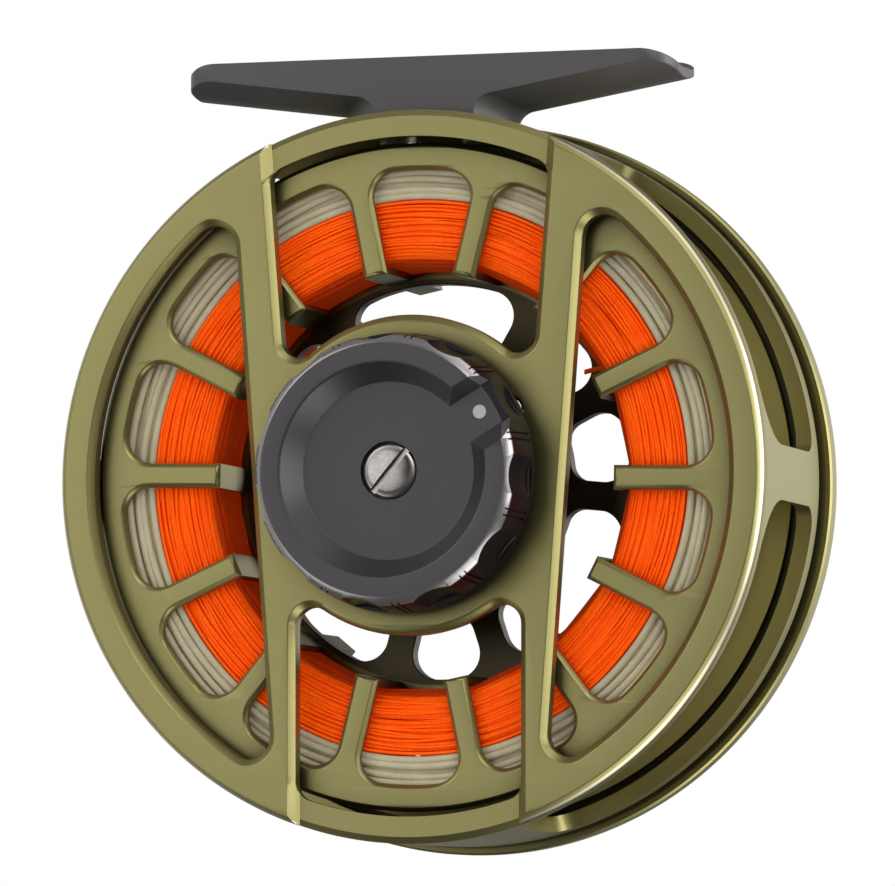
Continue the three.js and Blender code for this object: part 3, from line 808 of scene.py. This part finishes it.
def frame_shell():
    bridges = [bridge_window(UPPER_WALL, 1), bridge_window(LOWER_WALL, -1)]
    windows = [d_window(), mirrored(d_window()), *bridges]
    rounded = [(0.87, 0), (0.73, 0.04), (0.34, 0.42), (0.12, 0.78), (0, 1.25), (0, PLATE)]
    front = plate(circle(FRAME_R), windows, softened(CHAMFER, PLATE), rounded)
    cage = turned([
        (CAGE_BORE, PLATE / 2), (FRAME_R, PLATE / 2), (FRAME_R, FAR_RING_Y + 1), (CAGE_BORE, FAR_RING_Y + 1),
    ])
    edge = 0.5
    far_ring = turned([
        (CAGE_BORE, FAR_RING_Y), (FRAME_R - edge, FAR_RING_Y), (FRAME_R, FAR_RING_Y + edge),
        (FRAME_R, FRAME_W - edge), (FRAME_R - edge, FRAME_W),
        (CAGE_BORE + 0.2, FRAME_W), (CAGE_BORE, FRAME_W - 0.2),
    ])
    pillar = math.degrees(PILLAR_HALF / FRAME_R)
    cuts = [
        cage_opening(pillar, UPPER_OPENING_END),
        cage_opening(180 - UPPER_OPENING_END, 180 - pillar),
        cage_opening(180 + pillar, 180 + LOWER_OPENING_END),
        cage_opening(360 - LOWER_OPENING_END, 360 - pillar),
        ring_recess(UPPER_WALL, 1), ring_recess(LOWER_WALL, -1),
        bore(SPINDLE_R + 0.05, -1, PLATE + 1),
    ]
    for k in range(3):
        pin = cmath.rect(THRUST_AT, math.pi / 2 + 2 * math.pi * k / 3)
        screw = cmath.rect(HOUSING_SCREW_AT, math.pi / 6 + 2 * math.pi * k / 3)
        cuts.append(bore(THRUST_PIN_R + 0.1, -1, PLATE + 1, pin))
        cuts.append(bore(HOUSING_SCREW_R, -1, PLATE + 1, screw))
        cuts.append(bore(HOUSING_SCREW_HEAD_R, -1, 1, screw))
    for x in FOOT_SCREWS_X:
        cuts += [post(x, FOOT_SCREW_R, 38, 46), post(x, FOOT_SCREW_HEAD_R, 38, 41.9)]
    return combined(joined([front, cage, far_ring]), cuts, "DIFFERENCE")


# ---- reel foot ----
def foot_outline(across, reach, slope):
    """Half of the foot's outline; across is 0 at its long edges and 1 on its middle line."""
    stem = STEM_EDGE + (STEM_MIDDLE - STEM_EDGE) * across
    lean = math.atan(slope)

    def lower(x):
        return FOOT_ROOT - FOOT_SAG * across + slope * (x - 9)

    centre = complex(stem + STEM_FILLET, lower(stem + STEM_FILLET) - STEM_FILLET / math.cos(lean))
    top = FOOT_TOP - min(FOOT_ARCH * across, FOOT_DISH)
    tip = [complex(reach, lower(reach) + 0.12), complex(reach, top - 0.12), complex(reach - 0.12, top)]
    fillet = arc(centre, STEM_FILLET, math.pi, math.pi / 2 + lean, 14)
    return [complex(stem, 40), *fillet, complex(reach - 0.12, lower(reach)), *tip]


def foot_shell():
    half = (FOOT_Y[1] - FOOT_Y[0]) / 2
    middle = (FOOT_Y[0] + FOOT_Y[1]) / 2
    straight = half - FOOT_CORNER
    steps = [half * math.sin(math.pi / 2 * k / 40) for k in range(-40, 41)]
    outlines = []
    for d in steps:
        across = 1 - (d / half) ** 2
        past = max(0.0, abs(d) - straight)
        reach = FOOT_HALF - FOOT_CORNER + math.sqrt(max(0.0, FOOT_CORNER**2 - past**2))
        right = foot_outline(across, reach, FOOT_SLOPES[1])
        outlines.append(right + mirrored(foot_outline(across, reach, FOOT_SLOPES[0])))
    ring = turned([(0, -5), (FRAME_R + 0.05, -5), (FRAME_R + 0.05, 40), (0, 40)])
    bores = [post(x, FOOT_SCREW_R, 38, 47.2) for x in FOOT_SCREWS_X]
    return combined(lofted(outlines, [middle + d for d in steps]), [ring, *bores], "DIFFERENCE")


# ---- drag knob ----
def hexahedron(name, near, far):
    """A six-sided solid between two four-cornered ends, each corner an (x, y, z)."""
    return solid(name, near + far, [(0, 1, 2, 3), (4, 5, 6, 7), *band(0, 4)])


def grip_groove(angle, offset):
    """A fine groove down a land of the knob's grip, off its middle line and deeper towards the face."""
    ends = []
    for y, floor in ((-3.0, KNOB_R - 0.3), (-11.0, KNOB_R - 1.25)):
        corners = [complex(floor + out, offset + side * half) for side, out, half in
                   ((-1, 0, 0.10), (-1, 4, 0.22), (1, 4, 0.22), (1, 0, 0.10))]
        ends.append([(p.real, y, p.imag) for p in turned_to(corners, angle)])
    return hexahedron("groove", *ends)


def knob_channel():
    """The open channel from the knob's dish out through its grip."""
    half, rise = 2.45, KNOB_FLOOR - KNOB_FACE + 1
    upper, lower = (half + rise * flare for flare in CHANNEL_FLARE)
    notch = [(half, 0.0), (upper, rise), (-lower, rise), (-half, 0.0)]
    ends = []
    for reach in (8.5, 20.5):
        corners = turned_to([complex(reach, across) for across, up in notch], CHANNEL_TURN)
        ends.append([(p.real, KNOB_FLOOR - up, p.imag) for p, (across, up) in zip(corners, notch)])
    return hexahedron("channel", *ends)


def knob_shell():
    face, floor, radius = KNOB_FACE, KNOB_FLOOR, KNOB_R
    body = turned([
        (1.8, floor + 0.9), (3.45, floor + 0.9), (3.45, floor + 0.05), (3.5, floor), (10.4, floor),
        (10.52, floor - 0.06), (12.48, face + 0.36), (12.6, face + 0.12), (12.85, face), (14.85, face),
        (15.0, face + 0.05), (15.85, face + 0.92), (15.93, face + 1.1),
        (radius, -2.5), (radius - 0.09, -2.2), (radius - 0.8, -0.45), (radius - 0.9, -0.4),
        (12.3, -0.4), (12.3, -4.9), (1.8, -4.9),
    ], 33 * KNOB_GRIPS)
    cuts = []
    for k in range(KNOB_GRIPS):
        land = math.radians(13.5) + 2 * math.pi * k / KNOB_GRIPS
        centre = cmath.rect(radius + 8.05, land + math.pi / KNOB_GRIPS)
        cuts.append(turned([(0, -11), (9.5, -11), (8.62, -3.5), (8.5, -3.4), (0, -3.4)], 160, centre))
        cuts += [grip_groove(land, -0.4), grip_groove(land, 0.4)]
    cuts.append(knob_channel())
    return combined(body, cuts, "DIFFERENCE")


def knob_screw():
    head, shank, top, seat = 3.26, 1.6, KNOB_FLOOR, -6.05
    screw = turned([
        (0, top), (0.8, top + 0.01), (1.6, top + 0.06), (2.3, top + 0.13), (2.8, top + 0.21),
        (head - 0.2, top + 0.32), (head - 0.05, top + 0.42), (head, top + 0.55),
        (head, seat), (shank, seat), (shank, -1), (0, -1),
    ], 144)
    slot = block((-head - 1, top - 1, -0.38), (head + 1, top + 0.75, 0.38), math.radians(50))
    return combined(screw, [slot], "DIFFERENCE")


# ---- spool ----
def flange_opening():
    """Inner outline of a flange: straight-sided fingers that reach in to the arbor."""
    fillet = 3.0
    reach, off = FLANGE_WINDOW_R - fillet, FINGER_HALF + fillet
    out = math.sqrt(reach**2 - off**2)
    lean = math.atan2(off, out)
    points = []
    for k in range(SPOOL_BARS):
        here = BARS_TURN + 2 * math.pi * k / SPOOL_BARS
        beyond = BARS_TURN + 2 * math.pi * (k + 1) / SPOOL_BARS
        points += turned_to([complex(ARBOR_R, FINGER_HALF)], here)
        points += turned_to(arc(complex(out, off), fillet, -math.pi / 2, lean, 12), here)
        points += arc(0, FLANGE_WINDOW_R, here + lean, beyond - lean, 8)[1:-1]
        points += turned_to(arc(complex(out, -off), fillet, -lean, math.pi / 2, 12), beyond)
        points += turned_to([complex(ARBOR_R, -FINGER_HALF)], beyond)
    return points


def web_opening(start, end):
    """An opening of the web between two spokes."""
    inner, outer = 16.4, 23.7
    half, small, large = 1.7, 2.2, 3.0

    def corner(radius, reach):
        return complex(math.sqrt(reach**2 - (half + radius) ** 2), half + radius)

    low, high = corner(small, inner + small), corner(large, outer - large)
    low_lean, high_lean = cmath.phase(low), cmath.phase(high)
    steps = 24 if end - start > 0.7 else 10
    return [
        *turned_to(arc(low, small, low_lean + math.pi, 1.5 * math.pi, 8), start),
        *turned_to(arc(high, large, -math.pi / 2, high_lean, 12), start),
        *arc(0, outer, start + high_lean, end - high_lean, steps)[1:-1],
        *turned_to(arc(high.conjugate(), large, -high_lean, math.pi / 2, 12), end),
        *turned_to(arc(low.conjugate(), small, math.pi / 2, math.pi - low_lean, 8), end),
        *arc(0, inner, end - low_lean, start + low_lean, steps)[1:-1],
    ]


def web():
    pitch = 2 * math.pi / 11
    at = math.radians(-6)
    openings = []
    for span in WEB_SPANS:
        openings.append(web_opening(at, at + span * pitch))
        at += span * pitch
    openings.append(circle(9, 96))
    soft = 0.12
    profile = [(soft, WEB_Y), (0, WEB_Y + soft), (0, WEB_Y + WEB - soft), (soft, WEB_Y + WEB)]
    return plate(circle(ARBOR_R + 0.8), openings, profile)


def spool_shell():
    near, far = FLANGE_Y, FAR_FLANGE_Y
    opening = flange_opening()
    near_profile = [
        (0.56, near), (0.44, near + 0.04), (0.04, near + 0.44), (0, near + 0.56),
        (0, near + FLANGE - 0.5), (0.5, near + FLANGE),
    ]
    far_profile = [(0, far), (0, far + FLANGE - 0.5), (0.5, far + FLANGE)]
    parts = [
        plate(circle(FLANGE_R), [opening], near_profile),
        plate(circle(FAR_FLANGE_R), [opening], far_profile),
        web(),
        turned([
            (37.6, far + 0.3), (FAR_FLANGE_R, far + 0.3), (FAR_FLANGE_R, RIM_Y), (RIM_R - 0.25, RIM_Y),
            (RIM_R, RIM_Y + 0.25), (RIM_R, RIM_END - 0.4), (RIM_R - 0.12, RIM_END - 0.12),
            (RIM_R - 0.4, RIM_END), (RIM_R - 2.8, RIM_END),
            (37.6, far + FLANGE),
        ]),
        turned([
            (7.6, WEB_Y), (12, WEB_Y), (12, 16.4), (11.8, 16.6), (9.6, 17.4), (9.6, 26.2), (9.4, 26.4),
            (6.05, 26.4), (6.05, 22.6), (4.6, 22.6), (4.6, 21.8), (7.6, 21.8),
        ], 128),
    ]
    for k in range(SPOOL_BARS):
        angle = BARS_TURN + 2 * math.pi * k / SPOOL_BARS
        low = (ARBOR_R, near + 0.5, -FINGER_HALF)
        parts.append(block(low, (ARBOR_R + 0.9, far + FLANGE, FINGER_HALF), angle))
    bores = []
    for turn in (0, math.pi):
        centre = cmath.rect(HANDLE_AT, BARS_TURN + turn)
        parts.append(turned([(0, 24.9), (4.2, 24.9), (4.2, 28.6), (3.9, 28.9), (0, 28.9)], 64, centre))
        bores.append(turned([(0, 20), (1.55, 20), (1.55, 30), (0, 30)], 48, centre))
    return combined(joined(parts), bores, "DIFFERENCE")


# ---- handle, cap and drag housing ----
def grip_shell():
    """The handle knob: a waisted barrel."""
    profile = [(2.6, 30), (4.5, 30)]
    waist = [
        (30.0, 4.6), (30.7, 5.2), (33, 5.0), (36, 4.8), (40, 5.3), (44, 6.2),
        (46.6, 6.5), (48.4, 6.2), (49.4, 5.4),
    ]
    ys = np.linspace(waist[0][0], waist[-1][0], 78)
    rs = np.interp(ys, [p[0] for p in waist], [p[1] for p in waist])
    rs = np.convolve(np.pad(rs, 3, mode="edge"), np.ones(7) / 7, mode="valid")
    profile += [(float(r), float(y)) for r, y in zip(rs, ys)]
    profile += [(3.5, 49.4), (3.4, 49.3), (3.4, 47.6), (2.6, 47.6)]
    return turned(profile, 96, cmath.rect(HANDLE_AT, BARS_TURN + math.pi))


def cap_shell():
    body = turned([
        (0, 21), (1.6, 21), (1.6, 26.6), (9, 26.6), (9.5, 27.1), (9.6, 27.3), (9.6, 29.8), (9.5, 30.1),
        (9, 30.6), (4, 30.9), (3.6, 30.75), (0, 30.5),
    ], 192)
    flutes = []
    for k in range(12):
        centre = cmath.rect(10.3, math.radians(30 * k))
        flutes.append(turned([(0, 26), (1.1, 26), (1.1, 32), (0, 32)], 48, centre))
    return combined(body, flutes, "DIFFERENCE")


def housing_shell():
    start, end = PLATE + 0.05, HOUSING_END
    return turned([
        (12.9, start), (HOUSING_R, start), (HOUSING_R, end - 0.5), (HOUSING_R - 0.06, end - 0.3),
        (HOUSING_R - 0.3, end - 0.06), (HOUSING_R - 0.5, end), (6.7, end), (6.7, 11), (12.9, 11),
    ], 192)


def counterweight_shell():
    return turned([
        (1.6, 28.95), (4.6, 28.95), (4.85, 29.15), (4.9, 29.3), (4.9, 31.3), (4.8, 31.6), (4.3, 32),
        (2.7, 32), (2.6, 31.9), (2.6, 31.1), (1.6, 31.1),
    ], 96, cmath.rect(HANDLE_AT, BARS_TURN))


PIECES = {
    "frame": frame_shell,
    "reel_foot": foot_shell,
    "drag_knob": knob_shell,
    "drag_knob_screw": knob_screw,
    "drag_housing": housing_shell,
    "spool": spool_shell,
    "spool_cap": cap_shell,
    "handle_knob": grip_shell,
    "counterweight": counterweight_shell,
}


def build_fine_pieces():
    for node, build in PIECES.items():
        shown(build(), node, OWN_MATERIALS.get(node, MATERIALS[SLOTS[node]]))


# ---- wound line ----
def closed_wave(rng, angles, waves, scale):
    """A random curve around a circle, made of the given numbers of waves, about scale high."""
    total = np.zeros_like(angles)
    for count in waves:
        total += rng.normal(0, 1) * np.cos(count * angles + rng.uniform(0, 2 * math.pi))
    return total * scale / math.sqrt(len(waves) / 2)


def chord_dip(angles, radius):
    """How far a strand pulled straight between two bars runs inside its circle, in millimetres."""
    pitch = 2 * math.pi / SPOOL_BARS
    off = np.mod(angles - BARS_TURN, pitch) - pitch / 2
    half = pitch / 2 - BAR_HALF_ANGLE
    inside = np.abs(off) < half
    chord = radius * math.cos(half) / np.cos(np.where(inside, off, half))
    return np.where(inside, radius - chord, 0.0)


def tube_quads(rings, sides):
    """Quads of a surface that closes on itself both ways, of so many rings and sides."""
    i = np.arange(rings)[:, None]
    j = np.arange(sides)[None, :]
    after, beside = (i + 1) % rings, (j + 1) % sides
    corners = [i * sides + j, i * sides + beside, after * sides + beside, after * sides + j]
    return np.stack(corners, axis=2).reshape(-1, 4)


def placed(r, y, angles):
    """Points in metres from distances and depths in millimetres, one row for each angle."""
    x = r * np.cos(angles)[:, None]
    z = r * np.sin(angles)[:, None]
    return np.stack([AXIS_X + x * MM, FACE_Y + y * MM, AXIS_Z + z * MM], axis=2).reshape(-1, 3)


def strand_ring(angles, radii, depths, thickness, sides):
    """Vertices and quads of one closed strand; depths are millimetres behind the front plate's face."""
    around = np.linspace(0, 2 * math.pi, sides, endpoint=False)
    r = radii[:, None] + thickness / 2 * np.cos(around)[None, :]
    y = depths[:, None] + thickness / 2 * np.sin(around)[None, :]
    return placed(r, y, angles), tube_quads(len(angles), sides)


def mesh_object(name, parts, material):
    """One object from a list of (vertices, quads)."""
    offset = 0
    points, quads = [], []
    for part_points, part_quads in parts:
        points.append(part_points)
        quads.append(part_quads + offset)
        offset += len(part_points)
    mesh = bpy.data.meshes.new(name)
    mesh.from_pydata(np.concatenate(points).tolist(), [], np.concatenate(quads).tolist())
    mesh.polygons.foreach_set("use_smooth", [True] * len(mesh.polygons))
    mesh.materials.append(material)
    return added(name, mesh)


PACK_INNER = {"backing": BACKING_INNER, "fly_line": BACKING_R + 0.05}


class Pack:
    """A pack of line wound on the spool; the corner is the radius of its inner edges."""

    def __init__(self, node, strand, corner, seed):
        low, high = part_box(node)
        self.strand = strand
        self.corner = corner
        self.rng = np.random.default_rng(seed)
        self.inner = PACK_INNER[node]
        self.outer = (high.x - low.x) / 2 / MM
        self.near = (low.y - FACE_Y) / MM
        self.far = (high.y - FACE_Y) / MM
        self.angles = np.linspace(0, 2 * math.pi, SPOOL_BARS * 16, endpoint=False)

    def wave(self, waves, scale):
        return closed_wave(self.rng, self.angles, waves, self.strand * scale)

    def fall(self, height):
        """How far a side face falls back at a height above the inner surface."""
        short = max(0.0, self.corner - height)
        return self.corner - math.sqrt(max(0.0, self.corner**2 - short**2))

    def core(self, steps=168):
        """The solid body of the pack, under its outer turns."""
        inner, outer = self.inner + self.strand * 0.5, self.outer - self.strand * 0.5
        near, far = self.near + self.strand * 0.75, self.far - self.strand * 0.75
        heights = [self.corner * k / 8 for k in range(9)] if self.corner else [0.0]
        falls = [(inner + height, self.fall(height)) for height in heights]
        profile = [(r, near + fall) for r, fall in falls] + [(outer, near), (outer, far)]
        profile += [(r, far - fall) for r, fall in reversed(falls)]
        angles = np.linspace(0, 2 * math.pi, steps, endpoint=False)
        r = np.array([p[0] for p in profile])[None, :] - chord_dip(angles, inner)[:, None]
        y = np.array([p[1] for p in profile])[None, :] + 0 * angles[:, None]
        return placed(r, y, angles), tube_quads(steps, len(profile))

    def side_turns(self, sides, wander_scale):
        """The turns that show on the pack's two side faces."""
        strand = self.strand
        rows = int(round((self.outer - self.inner) / (strand * 0.96)))
        pitch = (self.outer - self.inner - strand) / (rows - 1)
        turns = []
        for side, face in ((1, self.near), (-1, self.far)):
            for k in range(rows):
                base = self.inner + strand / 2 + k * pitch
                stiff = math.exp(-k * pitch / 2.6) if self.corner else 0.0
                wander = self.wave((2, 3, 5, 8, 13), wander_scale)
                edge = min(k, rows - 1 - k) / (rows - 1)
                wander *= min(1.0, 0.25 + edge * 4)
                sunk = self.rng.uniform(0.05, 0.5) if self.rng.random() < 0.2 else 0.0
                depth = np.clip(self.wave((1, 4, 7, 11), 0.14) + sunk * strand, 0.0, strand * 0.7)
                depth += self.fall(k * pitch)
                depths = face + side * (strand / 2 + depth)
                radii = base + wander - chord_dip(self.angles, base) * stiff
                turns.append(strand_ring(self.angles, radii, depths, strand, sides))
        return turns

    def surface_turns(self, sides):
        """The turns on the inner surface if the pack has rounded corners there, else on the outer one."""
        strand = self.strand
        span = self.far - self.near - strand - 1.2 * self.corner
        count = int(span / (strand * 1.02))
        turns = []
        for k in range(1, count):
            middle = self.near + 0.6 * self.corner + strand / 2 + k * span / count
            depths = middle + self.wave((1, 2, 5, 9), 0.12)
            if self.corner:
                base = self.inner + strand / 2
                radii = base + np.abs(self.wave((3, 5, 8), 0.15)) - chord_dip(self.angles, base)
            else:
                radii = self.outer - strand / 2 - np.abs(self.wave((3, 5, 8), 0.12))
            turns.append(strand_ring(self.angles, radii, depths, strand, sides))
        return turns


def wound_pack(name, node, strand, seed, sides, corner, wander_scale):
    """The strands of a pack, standing in for its CAD piece."""
    pack = Pack(node, strand, corner, seed)
    parts = [pack.core(), *pack.side_turns(sides, wander_scale), *pack.surface_turns(sides)]
    obj = mesh_object(name, parts, MATERIALS[node])
    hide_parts(node)
    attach(obj, "spool_body")


def tag_end():
    """The loose end of the backing, standing in between two bars of the spool."""
    path = [(25.6, 6.0, 13.1), (24.4, 6.0, 12.7), (23.0, 6.2, 12.5), (21.4, 6.7, 12.45), (19.9, 7.2, 12.2)]
    sides = 8
    points, faces = [], []
    for step, (x, y, z) in enumerate(path):
        reach = BACKING_STRAND * (0.55 + 0.06 * step)
        for k in range(sides):
            turn = 2 * math.pi * k / sides
            points.append((x, y + reach * math.cos(turn), z + reach * math.sin(turn)))
    for here in range(0, len(points) - sides, sides):
        faces += band(here, sides)
    faces += [tuple(range(sides)), tuple(range(len(points) - sides, len(points)))]
    obj = solid("backing_tag_end", points, faces)
    obj.data.transform(TO_CAD)
    obj.data.materials.append(MATERIALS["backing"])
    smoothed(obj)
    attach(obj, "spool_body")


# ---- studio ----
def studio_world():
    """White to the camera; to the reel, a soft studio that is brightest at the right and dark below."""
    world = bpy.data.worlds.new("studio")
    bpy.context.scene.world = world
    world.use_nodes = True
    s = Shader(world.node_tree)
    direction = s.node("ShaderNodeTexCoord").outputs["Generated"]
    lobes = [
        # direction, inner and outer half angle in degrees, strength
        ((0.96, -0.10, 0.10), 10, 40, 0.4),
        ((0.48, -0.16, 0.86), 8, 26, 1.5),
        ((0.57, -0.26, -0.78), 5, 24, 3.4),
        ((0.57, 0.22, -0.79), 8, 26, 3.6),
        ((0.57, 0.20, 0.80), 6, 22, 1.8),
        ((0.93, -0.30, 0.05), 5, 20, 1.6),
        ((0.45, -0.68, 0.58), 8, 26, 3.2),
        ((-0.70, -0.45, 0.55), 8, 28, 2.4),
        ((-0.70, -0.45, -0.55), 8, 30, 1.6),
        ((-0.92, 0.35, 0.05), 10, 50, 0.75),
        ((0.30, 0.95, 0.05), 6, 26, 1.2),
        ((-0.29, 0.95, 0.07), 8, 35, 0.4),
        ((-0.10, 0.10, 0.98), 10, 45, 0.30),
    ]
    total = 0.05
    for towards, inner, outer, strength in lobes:
        dot = s.node(
            "ShaderNodeVectorMath",
            operation="DOT_PRODUCT",
            inputs={0: direction, 1: Vector(towards).normalized()},
        ).outputs["Value"]
        lobe = s.ramp(dot, math.cos(math.radians(outer)), math.cos(math.radians(inner)), 0.0, strength)
        total = s.plus(lobe, total)
    seen = s.node("ShaderNodeLightPath").outputs["Is Camera Ray"]
    reflected = s.node("ShaderNodeBackground", inputs={0: rgb(1.0, 0.985, 0.96), 1: total})
    backdrop = s.node("ShaderNodeBackground", inputs={0: rgb(1, 1, 1), 1: 1.0})
    shaders = {0: seen, 1: reflected.outputs[0], 2: backdrop.outputs[0]}
    mixed = s.node("ShaderNodeMixShader", inputs=shaders)
    output = s.node("ShaderNodeOutputWorld")
    s.tree.links.new(mixed.outputs[0], output.inputs[0])


def softbox(name, offset, size, power):
    """A square area light at an offset from the front plate's centre, facing it; lengths in metres."""
    light = bpy.data.lights.new(name, "AREA")
    light.shape = "SQUARE"
    light.size = size
    light.energy = power
    obj = added(name, light)
    obj.location = FRONT_CENTRE + Vector(offset)
    obj.rotation_mode = "QUATERNION"
    obj.rotation_quaternion = Vector(offset).to_track_quat("Z", "Y")
    obj.visible_camera = False


def floor_material(s):
    cloud = s.noise(400, 2)
    return {
        "Base Color": s.blend(cloud, rgb(0.86, 0.86, 0.86), rgb(0.83, 0.83, 0.83)),
        "Roughness": 0.9,
        "Specular IOR Level": 0.1,
    }


def stage():
    half = 4.0
    level = CAD_BOX[0].z - FLOOR_DROP
    mesh = bpy.data.meshes.new("floor")
    corners = [(-half, -half, level), (half, -half, level), (half, half, level), (-half, half, level)]
    mesh.from_pydata(corners, [], [(0, 1, 2, 3)])
    mesh.materials.append(surface("floor", floor_material))
    floor = added("floor", mesh)
    floor.visible_glossy = False
    studio_world()
    softbox("front_left", (-0.37, -0.80, 0.08), size=0.50, power=1.34)
    softbox("right", (0.42, 0.06, 0.04), size=0.36, power=1.7)


def aim_camera():
    camera = bpy.data.cameras.new("camera")
    camera.lens = CAMERA_LENS
    camera.sensor_width = 36
    camera.clip_start = 0.01
    camera.clip_end = 50
    obj = added("camera", camera)
    azimuth, elevation = math.radians(CAMERA_AZIMUTH), math.radians(CAMERA_ELEVATION)
    flat = math.cos(elevation)
    back = Vector((math.sin(azimuth) * flat, -math.cos(azimuth) * flat, math.sin(elevation)))
    obj.location = FRONT_CENTRE + CAMERA_AIM + back * CAMERA_DISTANCE
    obj.rotation_mode = "QUATERNION"
    obj.rotation_quaternion = back.to_track_quat("Z", "Y")
    bpy.context.scene.camera = obj


finish_cad_pieces()
build_fine_pieces()
wound_pack("backing_turns", "backing", BACKING_STRAND, seed=11, sides=6, corner=2.5, wander_scale=0.30)
wound_pack("fly_line_turns", "fly_line", FLY_LINE_STRAND, seed=23, sides=10, corner=0.0, wander_scale=0.16)
tag_end()
stage()
aim_camera()
bpy.context.scene.view_settings.view_transform = "Standard"
